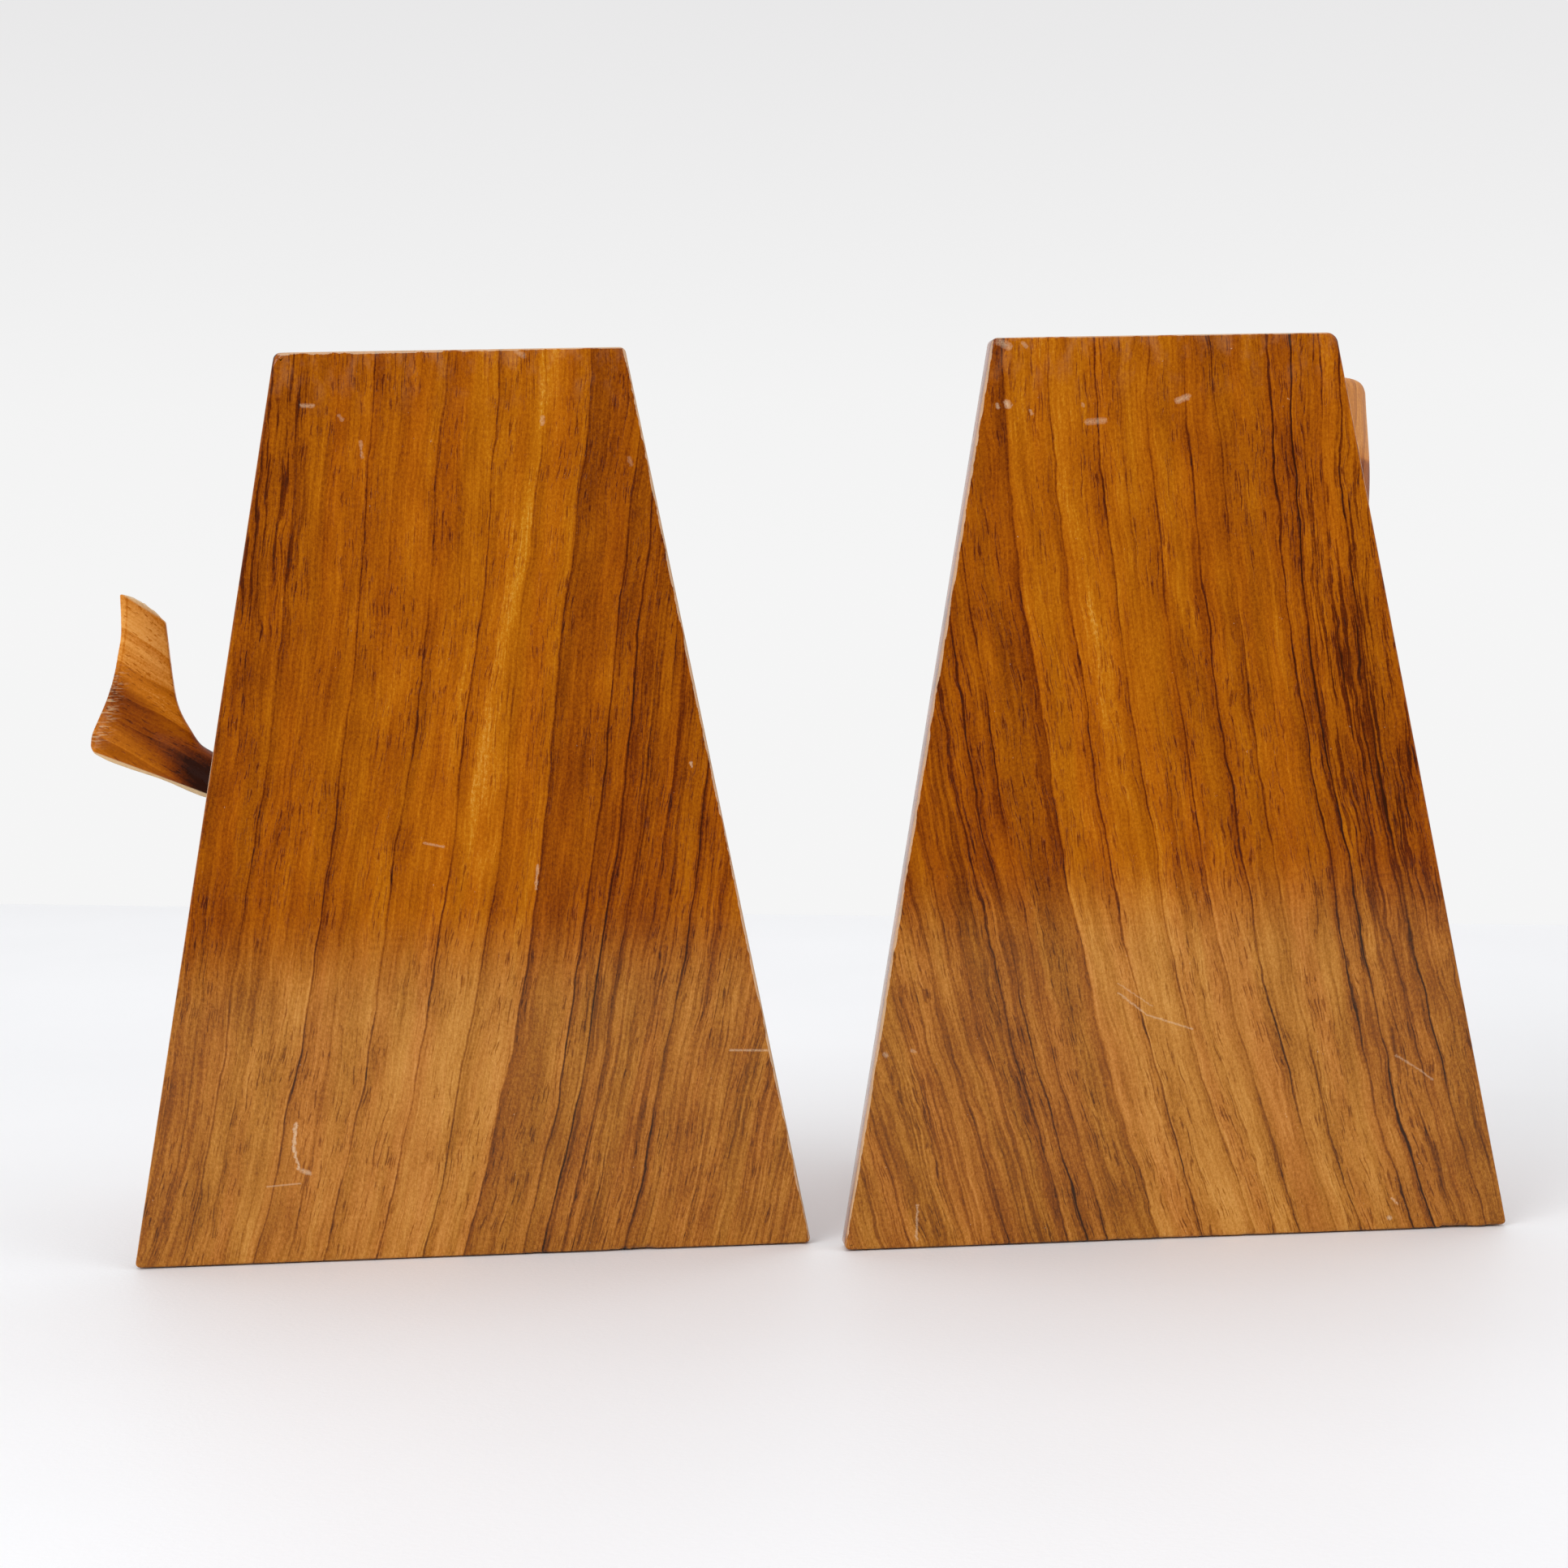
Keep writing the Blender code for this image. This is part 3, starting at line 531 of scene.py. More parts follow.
def groove_depth(height, along, across):
    """How deep the throat grooves are at a place on the head; only the belly has them."""
    if across >= 0:
        return 0.0
    run = within_one((height - THROAT_LOW) / THROAT_LOW_FADE)
    run *= within_one((THROAT_HIGH - height) / THROAT_HIGH_FADE)
    run *= within_one((THROAT_HALF_WIDTH - abs(along)) / THROAT_SIDE_FADE)
    ridge = 0.5 - 0.5 * cos(2 * pi * along * THROAT_GROOVES)
    return THROAT_DEPTH * run * (1 - ridge) ** 3


def head_rings(count=190, points=180):
    """Rings up the head, round the corner of its crown and in over the low dome."""
    rows = smooth_rows(HEAD_BODY, count)
    rows[:, 3:] -= HEAD_EASE
    rings = [(row[:3], row[3:], 0.0) for row in rows]
    top, halves = rows[-1][:3], rows[-1][3:]
    for step in range(1, HEAD_CORNER_STEPS + 1):
        angle = pi / 2 * step / HEAD_CORNER_STEPS
        inset = HEAD_CORNER_ACROSS * (1 - cos(angle))
        rings.append((top, halves - inset, HEAD_CORNER_UP * sin(angle)))
    for scale in np.linspace(0.96, 0.04, HEAD_DOME_STEPS):
        rise = HEAD_CORNER_UP + HEAD_DOME * (1 - scale**2)
        rings.append((top, (halves - HEAD_CORNER_ACROSS) * scale, rise))
    result = []
    for centre, (back, belly, half_side), rise in rings:
        ring = []
        for step in range(points):
            across, along = super_round(2 * pi * step / points, HEAD_SQUARENESS)
            reach = across * (back if across > 0 else belly)
            point = Vector(centre) + BACK * reach + SIDE * along * half_side + UP * rise
            share = within_one((point.z - HEAD_SLOPE_START) / HEAD_SLOPE_RUN)
            out = (BACK * across + SIDE * along).normalized()
            point -= out * groove_depth(point.z, along, across)
            point.z += HEAD_SLOPE * reach * share**2
            ring.append(point)
        result.append(ring)
    return foot_rings(result[0]) + result[2:]


def jaw_rings(grow, count=90, points=64):
    rings = []
    for height, outside, half_width, half_thick in smooth_rows(JAW, count):
        middle = head_station(height)[0] - BACK * outside
        rings.append(oval(middle, SIDE, BACK, half_width + grow, half_thick + grow, points))
    rings[0] = [point - UP * grow for point in rings[0]]
    rings[-1] = [point + UP * grow for point in rings[-1]]
    return rings


def outward(turn, hand):
    return (SIDE * hand * cos(turn) - BACK * sin(turn)).normalized()


def skin_distance(half_belly, half_side, turn):
    across, along = abs(sin(turn)) / half_belly, abs(cos(turn)) / half_side
    return (across**HEAD_SQUARENESS + along**HEAD_SQUARENESS) ** (-1 / HEAD_SQUARENESS)


def fin_rings(hand, grow, count=80, points=64):
    centre, half_belly, half_side = head_station(FIN_HEIGHT)
    direction = outward(FIN_TURN, hand)
    root = centre + direction * skin_distance(half_belly, half_side, FIN_TURN)
    along = direction * cos(FIN_DROP) - UP * sin(FIN_DROP)
    wide_axis = direction.cross(UP)
    flat_axis = along.cross(wide_axis).normalized()
    rings = []
    for distance, half_width, half_thick in smooth_rows(FIN, count):
        spot = root + along * distance
        rings.append(oval(spot, wide_axis, flat_axis, half_width + grow, half_thick + grow, points))
    rings[0] = [point - along * grow for point in rings[0]]
    if not grow:
        tip = rings[-1]
        middle = sum(tip, Vector()) / points
        for share in (0.15, 0.35, 0.6, 0.85):
            reach = along * FIN_TIP * sin(share * pi / 2)
            rings.append([point.lerp(middle, share) + reach for point in tip])
    return rings


def make_head(finish, jaw_finish, eye_finish):
    head = loft("right_whale_head_carved", head_rings(), "right", finish, radians(50))
    cutters = [loft("jaw_mortise", jaw_rings(GAP), "right", None)]
    jaw = loft("right_lower_jaw_carved", jaw_rings(0), "right", jaw_finish)
    pieces = [(jaw, "right_lower_jaw")]
    centre, half_belly, half_side = head_station(EYE_HEIGHT)
    for place, hand in (("outer", 1), ("inner", -1)):
        fin = loft(f"right_fin_{place}_carved", fin_rings(hand, 0), "right", jaw_finish)
        cutters.append(loft("fin_mortise", fin_rings(hand, GAP), "right", None))
        pieces.append((fin, f"right_fin_{place}"))
        direction = outward(EYE_TURN, hand)
        start = centre + direction * (skin_distance(half_belly, half_side, EYE_TURN) - EYE_DEPTH)
        dome = [(EYE_DEPTH + EYE_PROUD * sin(a), EYE_RADIUS * cos(a)) for a in np.linspace(0, 1.5, 14)]
        profile = [(0, EYE_RADIUS - EYE_PEG_CHAMFER), (EYE_PEG_CHAMFER, EYE_RADIUS)] + dome
        eye = turned(f"right_eye_{place}_peg", profile, start, direction, "right", eye_finish)
        pieces.append((eye, f"right_eye_{place}"))
        hole = [(-GAP, EYE_RADIUS + GAP), (2 * EYE_DEPTH, EYE_RADIUS + GAP)]
        cutters.append(turned("eye_drill", hole, start, direction, "right"))
    reshape(head, cutters, "DIFFERENCE")
    return head, pieces


# ---------------------------------------------------------------- finishes


class Nodes:
    """A node tree, with short calls for the nodes that the finishes and the room need."""

    def __init__(self, tree):
        self.nodes, self.links = tree.nodes, tree.links

    def feed(self, socket, value):
        if isinstance(value, bpy.types.NodeSocket):
            self.links.new(value, socket)
        elif value is not None:
            socket.default_value = value

    def fed(self, kind, values, **settings):
        """A new node with these settings, its first inputs fed with the values."""
        node = self.nodes.new(kind)
        for key, value in settings.items():
            setattr(node, key, value)
        for socket, value in zip(node.inputs, values):
            self.feed(socket, value)
        return node

    def math(self, operation, *values, clamp=False):
        return self.fed("ShaderNodeMath", values, operation=operation, use_clamp=clamp).outputs[0]

    def chain(self, operation, values):
        result = values[0]
        for value in values[1:]:
            result = self.math(operation, result, value)
        return result

    def total(self, *values):
        return self.chain("ADD", values)

    def times(self, *values):
        return self.chain("MULTIPLY", values)

    def most(self, *values):
        return self.chain("MAXIMUM", values)

    def minus(self, value, less):
        return self.math("SUBTRACT", value, less)

    def line(self, value, slope, start):
        """value * slope + start"""
        return self.math("MULTIPLY_ADD", value, slope, start)

    def swing(self, value, amount):
        """A noise's swing about its middle, times the amount."""
        return self.times(self.minus(value, 0.5), amount)

    def size(self, value):
        return self.math("ABSOLUTE", value)

    def vector(self, operation, *values):
        node = self.fed("ShaderNodeVectorMath", values, operation=operation)
        return node.outputs["Value" if operation in ("DOT_PRODUCT", "DISTANCE") else "Vector"]

    def point(self, x, y=0.0, z=0.0):
        return self.fed("ShaderNodeCombineXYZ", (x, y, z)).outputs[0]

    def noise(self, vector, scale=1.0, detail=2.0, roughness=0.5, distortion=0.0):
        node = self.nodes.new("ShaderNodeTexNoise")
        self.links.new(vector, node.inputs["Vector"])
        settings = {"Scale": scale, "Detail": detail, "Roughness": roughness, "Distortion": distortion}
        for key, value in settings.items():
            node.inputs[key].default_value = value
        return node.outputs["Fac"]

    def noise_at(self, *axes, **settings):
        """Noise at a point, whose coordinates are values or pairs of values to multiply."""
        spot = [self.times(*axis) if isinstance(axis, tuple) else axis for axis in axes]
        return self.noise(self.point(*spot), **settings)

    def stretch(self, value, low, high, to_low=0.0, to_high=1.0, smooth=True):
        values = (value, low, high, to_low, to_high)
        kind = "SMOOTHSTEP" if smooth else "LINEAR"
        return self.fed("ShaderNodeMapRange", values, interpolation_type=kind).outputs[0]

    def ramp(self, value, stops):
        node = self.fed("ShaderNodeValToRGB", [value])
        elements = node.color_ramp.elements
        while len(elements) < len(stops):
            elements.new(0.5)
        for element, (place, colour) in zip(elements, stops):
            element.position = place
            element.color = (*colour, 1)
        return node.outputs[0]

    def blend(self, factor, first, second, mode="MIX"):
        node = self.nodes.new("ShaderNodeMix")
        node.data_type = "RGBA"
        node.blend_type = mode
        for index, value in ((0, factor), (6, first), (7, second)):
            self.feed(node.inputs[index], (*value, 1) if isinstance(value, tuple) else value)
        return node.outputs[2]


class Finish(Nodes):
    """One material."""

    def __init__(self, name, roughness=0.5, metallic=0.0):
        self.material = bpy.data.materials.new(name)
        self.material.use_nodes = True
        super().__init__(self.material.node_tree)
        self.shader = self.nodes["Principled BSDF"]
        self.shader.inputs["Roughness"].default_value = roughness
        self.shader.inputs["Metallic"].default_value = metallic

    def object_place(self):
        return self.nodes.new("ShaderNodeTexCoord").outputs["Object"]

    def place(self):
        """The point's x, y and z from its book end's origin, in millimetres."""
        split = self.fed("ShaderNodeSeparateXYZ", [self.object_place()])
        return [self.times(output, 1 / MM) for output in split.outputs]

    def bump(self, height, distance, normal=None):
        node = self.nodes.new("ShaderNodeBump")
        node.inputs["Distance"].default_value = distance * MM
        self.feed(node.inputs["Height"], height)
        self.feed(node.inputs["Normal"], normal)
        return node.outputs[0]

    def finish(self, colour, roughness, normal, **fixed):
        """Feeds the shader. The fixed numbers stand on its own sockets."""
        self.feed(self.shader.inputs["Base Color"], colour)
        self.feed(self.shader.inputs["Roughness"], roughness)
        self.feed(self.shader.inputs["Normal"], normal)
        for key, value in fixed.items():
            self.shader.inputs[key.replace("_", " ")].default_value = value
        return self.material


# Growth lines of the plank that both boards were sawn from: place across the grain, darkness on the
# left board and on the right one, and how far the shade trails off.
GROWTH_LINES = [
    (-39.0, 0.06, 0.30, 2.5), (-35.0, 0.05, 0.14, 2.0), (-29.0, 0.10, 0.34, 2.0),
    (-25.0, 0.05, 0.26, 1.6), (-14.3, 0.20, 0.16, 3.2), (-8.6, 0.07, 0.22, 2.6),
    (-1.0, 0.15, 0.18, 3.6), (4.2, 0.05, 0.08, 1.5), (9.2, 0.18, 0.20, 3.0),
    (18.3, 0.18, 0.21, 2.6), (26.8, 0.14, 0.12, 1.0), (37.4, 0.20, 0.20, 1.8),
    (41.6, 0.26, 0.24, 2.2), (45.6, 0.08, 0.10, 1.5), (50.5, 0.08, 0.07, 1.5),
    (57.8, 0.22, 0.15, 1.6),
]
# How light the wood is across the grain.
PLANK_TONE = [
    (-46, 0.44), (-34, 0.49), (-20, 0.565), (0, 0.60), (13, 0.66), (22, 0.62), (26.5, 0.64),
    (27.0, 0.44), (33, 0.48), (37, 0.54), (38.5, 0.49), (50, 0.50), (62, 0.53),
]
WALNUT_TONES = [
    (0.0, (0.036, 0.0060, 0.0008)), (0.25, (0.112, 0.0165, 0.0006)),
    (0.40, (0.216, 0.0440, 0.0007)), (0.53, (0.320, 0.0765, 0.0008)),
    (0.60, (0.374, 0.0965, 0.0010)), (0.67, (0.430, 0.1190, 0.0016)),
    (0.755, (0.498, 0.1540, 0.0034)), (0.82, (0.550, 0.2000, 0.0090)),
    (1.0, (0.700, 0.3500, 0.0700)),
]
# The same wood near the foot, paled by a painted reflection of the white table top in its finish.
TABLE_REFLECTION_TONES = [
    (0.0, (0.036, 0.0130, 0.0030)), (0.20, (0.120, 0.0330, 0.0040)),
    (0.40, (0.260, 0.0770, 0.0060)), (0.50, (0.360, 0.1260, 0.0120)),
    (0.60, (0.450, 0.1680, 0.0230)), (0.70, (0.530, 0.2180, 0.0380)),
    (0.80, (0.610, 0.2700, 0.0600)), (1.0, (0.740, 0.3900, 0.1300)),
]
TONE_LOW, TONE_HIGH = -46.0, 66.0

# Marks on each board's book face: x and z of both ends, width, how white.
MARKS = {
    "left": [
        (-34.3, 27.7, -34.9, 23.0, 0.44, 0.77), (-34.9, 23.0, -34.0, 18.8, 0.36, 0.77),
        (-33.4, 18.4, -32.0, 17.9, 0.56, 0.56), (-40.2, 15.5, -33.8, 15.9, 0.2, 0.38),
        (51.3, 39.4, 61.8, 39.0, 0.28, 0.47), (-7.6, 82.2, -3.9, 81.3, 0.28, 0.34),
        (44.9, 96.6, 44.9, 95.8, 0.31, 0.6), (14.3, 77.2, 13.8, 72.6, 0.32, 0.42),
        (34.2, 156.4, 34.6, 155.2, 0.5, 0.2), (-28.8, 167.7, -26.8, 167.6, 0.48, 0.42),
        (-17.7, 160.5, -17.6, 157.6, 0.4, 0.3), (17.5, 164.6, 17.4, 163.4, 0.5, 0.36),
        (-21.6, 165.6, -21.2, 164.8, 0.43, 0.28), (12.6, 177.6, 14.2, 176.6, 0.64, 0.3),
    ],
    "right": [
        (-32.6, 177.2, -30.8, 176.2, 0.88, 0.42), (-28.0, 176.8, -27.4, 176.2, 0.5, 0.36),
        (-31.4, 165.3, -31.2, 164.9, 0.81, 0.68), (-33.3, 165.1, -33.1, 164.5, 0.43, 0.48),
        (-26.8, 163.7, -26.5, 163.2, 0.43, 0.4), (-15.6, 161.4, -12.4, 161.6, 0.72, 0.34),
        (2.2, 165.2, 4.2, 165.9, 0.72, 0.47), (-16.6, 164.9, -16.3, 164.5, 0.37, 0.32),
        (-11.2, 49.4, -5.6, 44.9, 0.24, 0.42), (-5.6, 44.9, 3.4, 41.8, 0.24, 0.42),
        (-11.2, 51.3, -4.6, 46.6, 0.18, 0.34), (44.3, 35.2, 48.8, 32.3, 0.28, 0.34),
        (48.8, 32.3, 51.6, 30.1, 0.24, 0.34), (-51.9, 8.7, -52.2, 1.8, 0.28, 0.47),
        (-57.7, 38.9, -57.4, 38.5, 0.5, 0.4), (-52.3, 39.4, -51.9, 39.2, 0.43, 0.36),
        (42.5, 2.7, 42.7, 2.6, 0.5, 0.64), (43.2, 6.6, 44.2, 5.4, 0.25, 0.48),
    ],
}

# How the plank is turned and shifted for each board, and how much its grain bends and waves there.
BOARD_LOOKS = {
    "left": dict(flip=1.0, offset=0.0, seed=3.1, swell=0.0, sway=4.2, kink=1.3),
    "right": dict(flip=-1.0, offset=-5.5, seed=8.7, swell=-1.6, sway=4.6, kink=1.9),
}
# How bright the painted golden highlight is and where it fades in, how strong the growth lines are, and
# where the painted reflection of the table top makes the foot pale.
GOLDEN_HIGHLIGHTS = {"left": (0.12, 60.0, 92.0), "right": (0.09, 88.0, 125.0)}
LINE_STRENGTHS = {"left": (0.62, 1.30), "right": (0.42, 1.15)}
TABLE_REFLECTION_FOOT = {"left": (70.0, 49.0), "right": (77.0, 55.0)}
LINE_HALF_WIDTH, LINE_TRAIL_SHADE = 0.32, 0.30
RUBBED_AND_LIT_WOOD = (0.74, 0.53, 0.34)
RUBBED_AND_LIT_CARVING = (0.80, 0.60, 0.34)


def plank_place(f, look, x, y, z):
    """Where a point lies across the plank's grain, which fans out to the foot, and in which layer."""
    across = f.line(x, look["flip"], look["offset"])
    fan = f.times(f.math("POWER", f.stretch(z, BOARD_TOP, 0.0, smooth=False), 1.3), 26.0)
    root = f.times(f.math("POWER", f.stretch(z, 50.0, 0.0, smooth=False), 1.6), 2.8)
    swell = f.times(f.math("SINE", f.times(z, pi / BOARD_TOP)), look["swell"])
    straight = f.total(across, fan, root, swell)
    # The plank is sawn a little deeper for the second board, and its thickness shows other layers.
    layer = f.line(y, 0.35, look["seed"])
    sway = f.noise_at((straight, 1 / 20), (z, 1 / 48), layer, detail=1)
    kink = f.noise_at((straight, 1 / 4), (z, 1 / 9), layer)
    return f.total(straight, f.swing(sway, look["sway"]), f.swing(kink, look["kink"])), layer


def growth_lines(f, side, u, z, patchy):
    """Dark lines that trail off to one side and are stronger in some places than in others."""
    lines = 0.0
    for place, dark_left, dark_right, trail in GROWTH_LINES:
        past = f.minus(u, place)
        core = f.stretch(f.size(past), LINE_HALF_WIDTH, 0.05)
        tail = f.times(f.stretch(past, -0.05, 0.2), f.stretch(past, trail, 0.0, 0.0, LINE_TRAIL_SHADE))
        lines = f.line(f.most(core, tail), dark_left if side == "left" else dark_right, lines)
    lines = f.times(lines, f.stretch(patchy, 0.34, 0.62, *LINE_STRENGTHS[side]))
    if side == "left":
        lines = f.times(lines, f.stretch(z, 90.0, 135.0, 1.0, 0.72))
    return lines


def dark_streaks(f, side, u, z, layer, stripe):
    """Near-black streaks towards the far edge of the plank, narrower ones near the foot."""
    field = f.noise_at((u, 1.3), (z, 1 / 16), layer, detail=4, roughness=0.62)
    zone = f.stretch(u, -21.0, -33.0)
    if side == "left":
        level, lower = f.stretch(z, 108.0, 140.0), 0.1
    else:
        level, lower = f.times(f.stretch(z, 42.0, 78.0), f.stretch(z, 172.0, 140.0)), 0.5
    upper_streaks = f.times(f.stretch(field, 0.52, 0.60), zone, level)
    lower_streaks = f.times(f.stretch(stripe, 0.46, 0.36), zone, f.stretch(z, 92.0, 66.0, 0.0, lower))
    return f.most(upper_streaks, lower_streaks)


def board_marks(f, side, x, z):
    """The marks of one board, their edges made ragged and their length broken."""
    shake = f.swing(f.noise_at((x, 1.3), 0.0, (z, 1.3)), 1.1)
    at = f.point(f.total(x, shake), 0.0, z)
    result = 0.0
    for x0, z0, x1, z1, width, white in MARKS[side]:
        run = Vector((x1 - x0, 0, z1 - z0))
        offset = f.vector("SUBTRACT", at, (x0, 0, z0))
        share = f.math("MULTIPLY", f.vector("DOT_PRODUCT", offset, run), 1 / run.length_squared, clamp=True)
        away = f.vector("DISTANCE", offset, f.vector("SCALE", run, None, None, share))
        shade = f.math("POWER", f.math("MULTIPLY_ADD", away, -1 / width, 1.0, clamp=True), 0.6)
        result = f.most(f.times(shade, white), result)
    broken = f.noise_at((x, 3.0), 1.0, (z, 3.0), detail=1)
    return f.times(result, f.stretch(broken, 0.30, 0.52, 0.35, 1.0))


def board_rubbing_and_highlight(f, side, x, y, z):
    """How pale a board is rubbed and lit: its arrises and a rubbed top, paled partly by rubbing and partly
    as painted highlight where the rounded edges catch light, small knocks and the marks.
    """
    slope = (BOARD_BOTTOM_WIDTH - BOARD_TOP_WIDTH) / 2 / BOARD_HEIGHT
    from_side = f.minus(f.line(z, -slope, BOARD_BOTTOM_WIDTH / 2), f.size(x))
    from_top = f.minus(BOARD_TOP, z)
    ragged = f.noise_at((x, 0.30), y, (z, 0.16), detail=5, roughness=0.6)
    if side == "left":
        rubbed_and_lit_side, rubbed_and_lit_top = f.stretch(x, 20.0, 30.0, 0.05, 0.42), f.stretch(x, 34.0, -34.0, 0.22, 0.5)
    else:
        rubbed_and_lit_side, rubbed_and_lit_top = f.stretch(x, -20.0, -30.0, 0.05, 0.34), 0.20
    rubbed_and_lit_side = f.times(rubbed_and_lit_side, f.stretch(ragged, 0.34, 0.60, 0.4, 1.2))
    rubbed_and_lit_top = f.times(rubbed_and_lit_top, f.stretch(ragged, 0.34, 0.60, 0.3, 1.3))
    # Painted highlight and rubbing: the arris that faces the other board and the top arris are paled like
    # bare wood catching the light.
    rubbed = f.most(f.math("LESS_THAN", from_side, rubbed_and_lit_side), f.math("LESS_THAN", from_top, rubbed_and_lit_top))
    rubbed = f.times(rubbed, f.stretch(y, 1.1, 0.2), 0.6)
    haze = f.times(f.stretch(from_top, 14.0, 0.0), f.stretch(ragged, 0.46, 0.70, 0.0, 0.07))
    knocks = f.noise_at((x, 0.9), BOARD_LOOKS[side]["seed"], (z, 0.7), detail=4, roughness=0.75)
    knocks = f.stretch(knocks, 0.715, 0.74, 0.0, 0.55)
    on_face = f.times(f.most(board_marks(f, side, x, z), knocks), f.stretch(y, 0.4, 0.1))
    return f.math("MAXIMUM", f.most(on_face, rubbed), haze, clamp=True)


def board_walnut(side):
    """The plank's tones, growth lines, pores and dark streaks on one upright board, a painted golden
    highlight slanting across its grain, a painted reflection of the table top at its foot, and its rubbed
    places, with painted highlights on its edges.
    """
    f = Finish(f"walnut_board_{side}", 0.4)
    look = BOARD_LOOKS[side]
    x, y, z = f.place()
    u, layer = plank_place(f, look, x, y, z)
    span = TONE_HIGH - TONE_LOW
    stops = [((place - TONE_LOW) / span, (tone,) * 3) for place, tone in PLANK_TONE]
    tone = f.ramp(f.stretch(u, TONE_LOW, TONE_HIGH, smooth=False), stops)

    # Patches, clouds, stripes, fibres, the glitter of cut cells, pores and the lines of close grain.
    patchy = f.noise_at((u, 1 / 7), (z, 1 / 24), layer, detail=3)
    cloud = f.noise_at((u, 1 / 4.5), (z, 1 / 15), layer)
    stripe = f.noise_at((u, 0.75), (z, 1 / 42), layer, detail=3, roughness=0.65)
    fibre = f.noise_at((u, 2.6), (z, 1 / 11), layer, detail=3, roughness=0.65)
    thread = f.noise_at((u, 1.6), (z, 1 / 45), layer)
    speck = f.noise_at((x, 2.0), (y, 2.0), (z, 1.3), detail=3, roughness=0.8)
    pores = f.stretch(f.noise_at((u, 3.1), (z, 0.23), layer, detail=1), 0.60, 0.65)
    pores = f.times(pores, f.stretch(patchy, 0.40, 0.58, 0.15, 1.0))
    close_lines = f.stretch(f.noise_at((u, 1.35), (z, 1 / 90), layer, detail=1), 0.5, 0.60, 0.0, 0.12)
    close_lines = f.times(close_lines, f.stretch(u, 38.0, 44.0))

    # A painted highlight: a bright golden sheen across the figure, slanting across the growth lines.
    golden_highlight_place = f.line(f.stretch(z, BOARD_TOP, 62.0, smooth=False), -8.5, 19.0)
    golden_highlight = f.stretch(f.size(f.minus(u, golden_highlight_place)), 2.6, 0.4)
    golden_highlight = f.times(golden_highlight, f.stretch(z, *GOLDEN_HIGHLIGHTS[side][1:]))

    light = f.total(
        tone,
        f.swing(stripe, 0.34),
        f.swing(thread, 0.20),
        f.swing(fibre, 0.36),
        f.swing(speck, 0.66),
        f.swing(cloud, 0.36),
        f.times(golden_highlight, GOLDEN_HIGHLIGHTS[side][0]),
        f.times(growth_lines(f, side, u, z, patchy), -1.7),
        f.times(close_lines, -1.0),
        f.times(pores, -0.22),
        f.times(dark_streaks(f, side, u, z, layer, stripe), -0.30),
    )
    if side == "right":
        light = f.line(f.times(f.stretch(x, 20.0, 34.0), f.stretch(z, 95.0, 150.0)), 0.17, light)
    # Painted reflection: towards the foot the board takes the paler tones, as if the white table top shone
    # in its finish.
    pale = f.stretch(z, *TABLE_REFLECTION_FOOT[side])
    colour = f.blend(pale, f.ramp(light, WALNUT_TONES), f.ramp(light, TABLE_REFLECTION_TONES))
    hue = f.noise_at((u, 1 / 5), (z, 1 / 60), look["seed"])
    tint = f.ramp(hue, [(0.36, (1.0, 0.96, 1.0)), (0.62, (0.99, 1.04, 1.0))])
    colour = f.blend(1.0, colour, tint, "MULTIPLY")
    worn_and_lit = board_rubbing_and_highlight(f, side, x, y, z)
    colour = f.blend(worn_and_lit, colour, RUBBED_AND_LIT_WOOD)

    gloss = f.most(f.line(fibre, 0.06, 0.09), f.times(worn_and_lit, 0.55))
    normal = f.bump(f.times(pores, -1.0), 0.02)
    normal = f.bump(fibre, 0.004, normal)
    normal = f.bump(speck, 0.003, normal)
    normal = f.bump(f.times(worn_and_lit, -1.0), 0.02, normal)
    return f.finish(colour, gloss, normal, Specular_IOR_Level=0.2)


def carving_walnut(name, axes, tones, heartwood_and_shade, rubbing_and_highlight, figure=0.42, middle=0.60, rough_skin=0.24):
    """Walnut for a carved piece. Its axes are the direction of its fibres and one square to it."""
    f = Finish(name, 0.38)
    x, y, z = f.place()
    position = f.point(x, y, z)
    grain, rise = axes
    side_axis = Vector(grain).cross(Vector(rise)).normalized()
    run, over, beside = (f.vector("DOT_PRODUCT", position, axis) for axis in (grain, rise, side_axis))
    bow = f.times(beside, beside, 0.006)
    warp = f.noise_at((over, 1 / 14), (run, 1 / 34), (beside, 1 / 14))
    u = f.total(over, bow, f.swing(warp, 6.0))
    rings = f.math("FRACT", f.times(u, 1 / 5.3))
    latewood = f.times(f.stretch(rings, 0.55, 0.97), f.stretch(rings, 1.0, 0.975))
    stripe = f.noise_at((u, 0.7), (run, 1 / 30), (beside, 1 / 6), detail=3, roughness=0.6)
    fibre = f.noise_at((u, 3.0), (run, 1 / 11), (beside, 0.8))
    pores = f.stretch(f.noise_at((u, 2.4), (run, 0.38), (beside, 2.2), detail=1), 0.64, 0.71)
    speck = f.noise(position, 2.2, roughness=0.7)
    light = f.total(
        middle,
        f.swing(stripe, figure),
        f.swing(fibre, 0.16),
        f.swing(speck, 0.24),
        f.times(latewood, -0.3 * figure),
        f.times(pores, -0.13),
        heartwood_and_shade(f, x, y, z, over),
    )
    # The pale rubbed colour, which on the tail's rims also stands for painted highlight.
    colour = f.blend(rubbing_and_highlight(f, x, y, z, speck), f.ramp(light, tones), RUBBED_AND_LIT_CARVING)
    normal = f.bump(f.times(pores, -1.0), 0.04)
    normal = f.bump(fibre, 0.012, normal)
    normal = f.bump(speck, 0.010, normal)
    return f.finish(colour, f.line(fibre, 0.12, rough_skin), normal, Specular_IOR_Level=0.1)


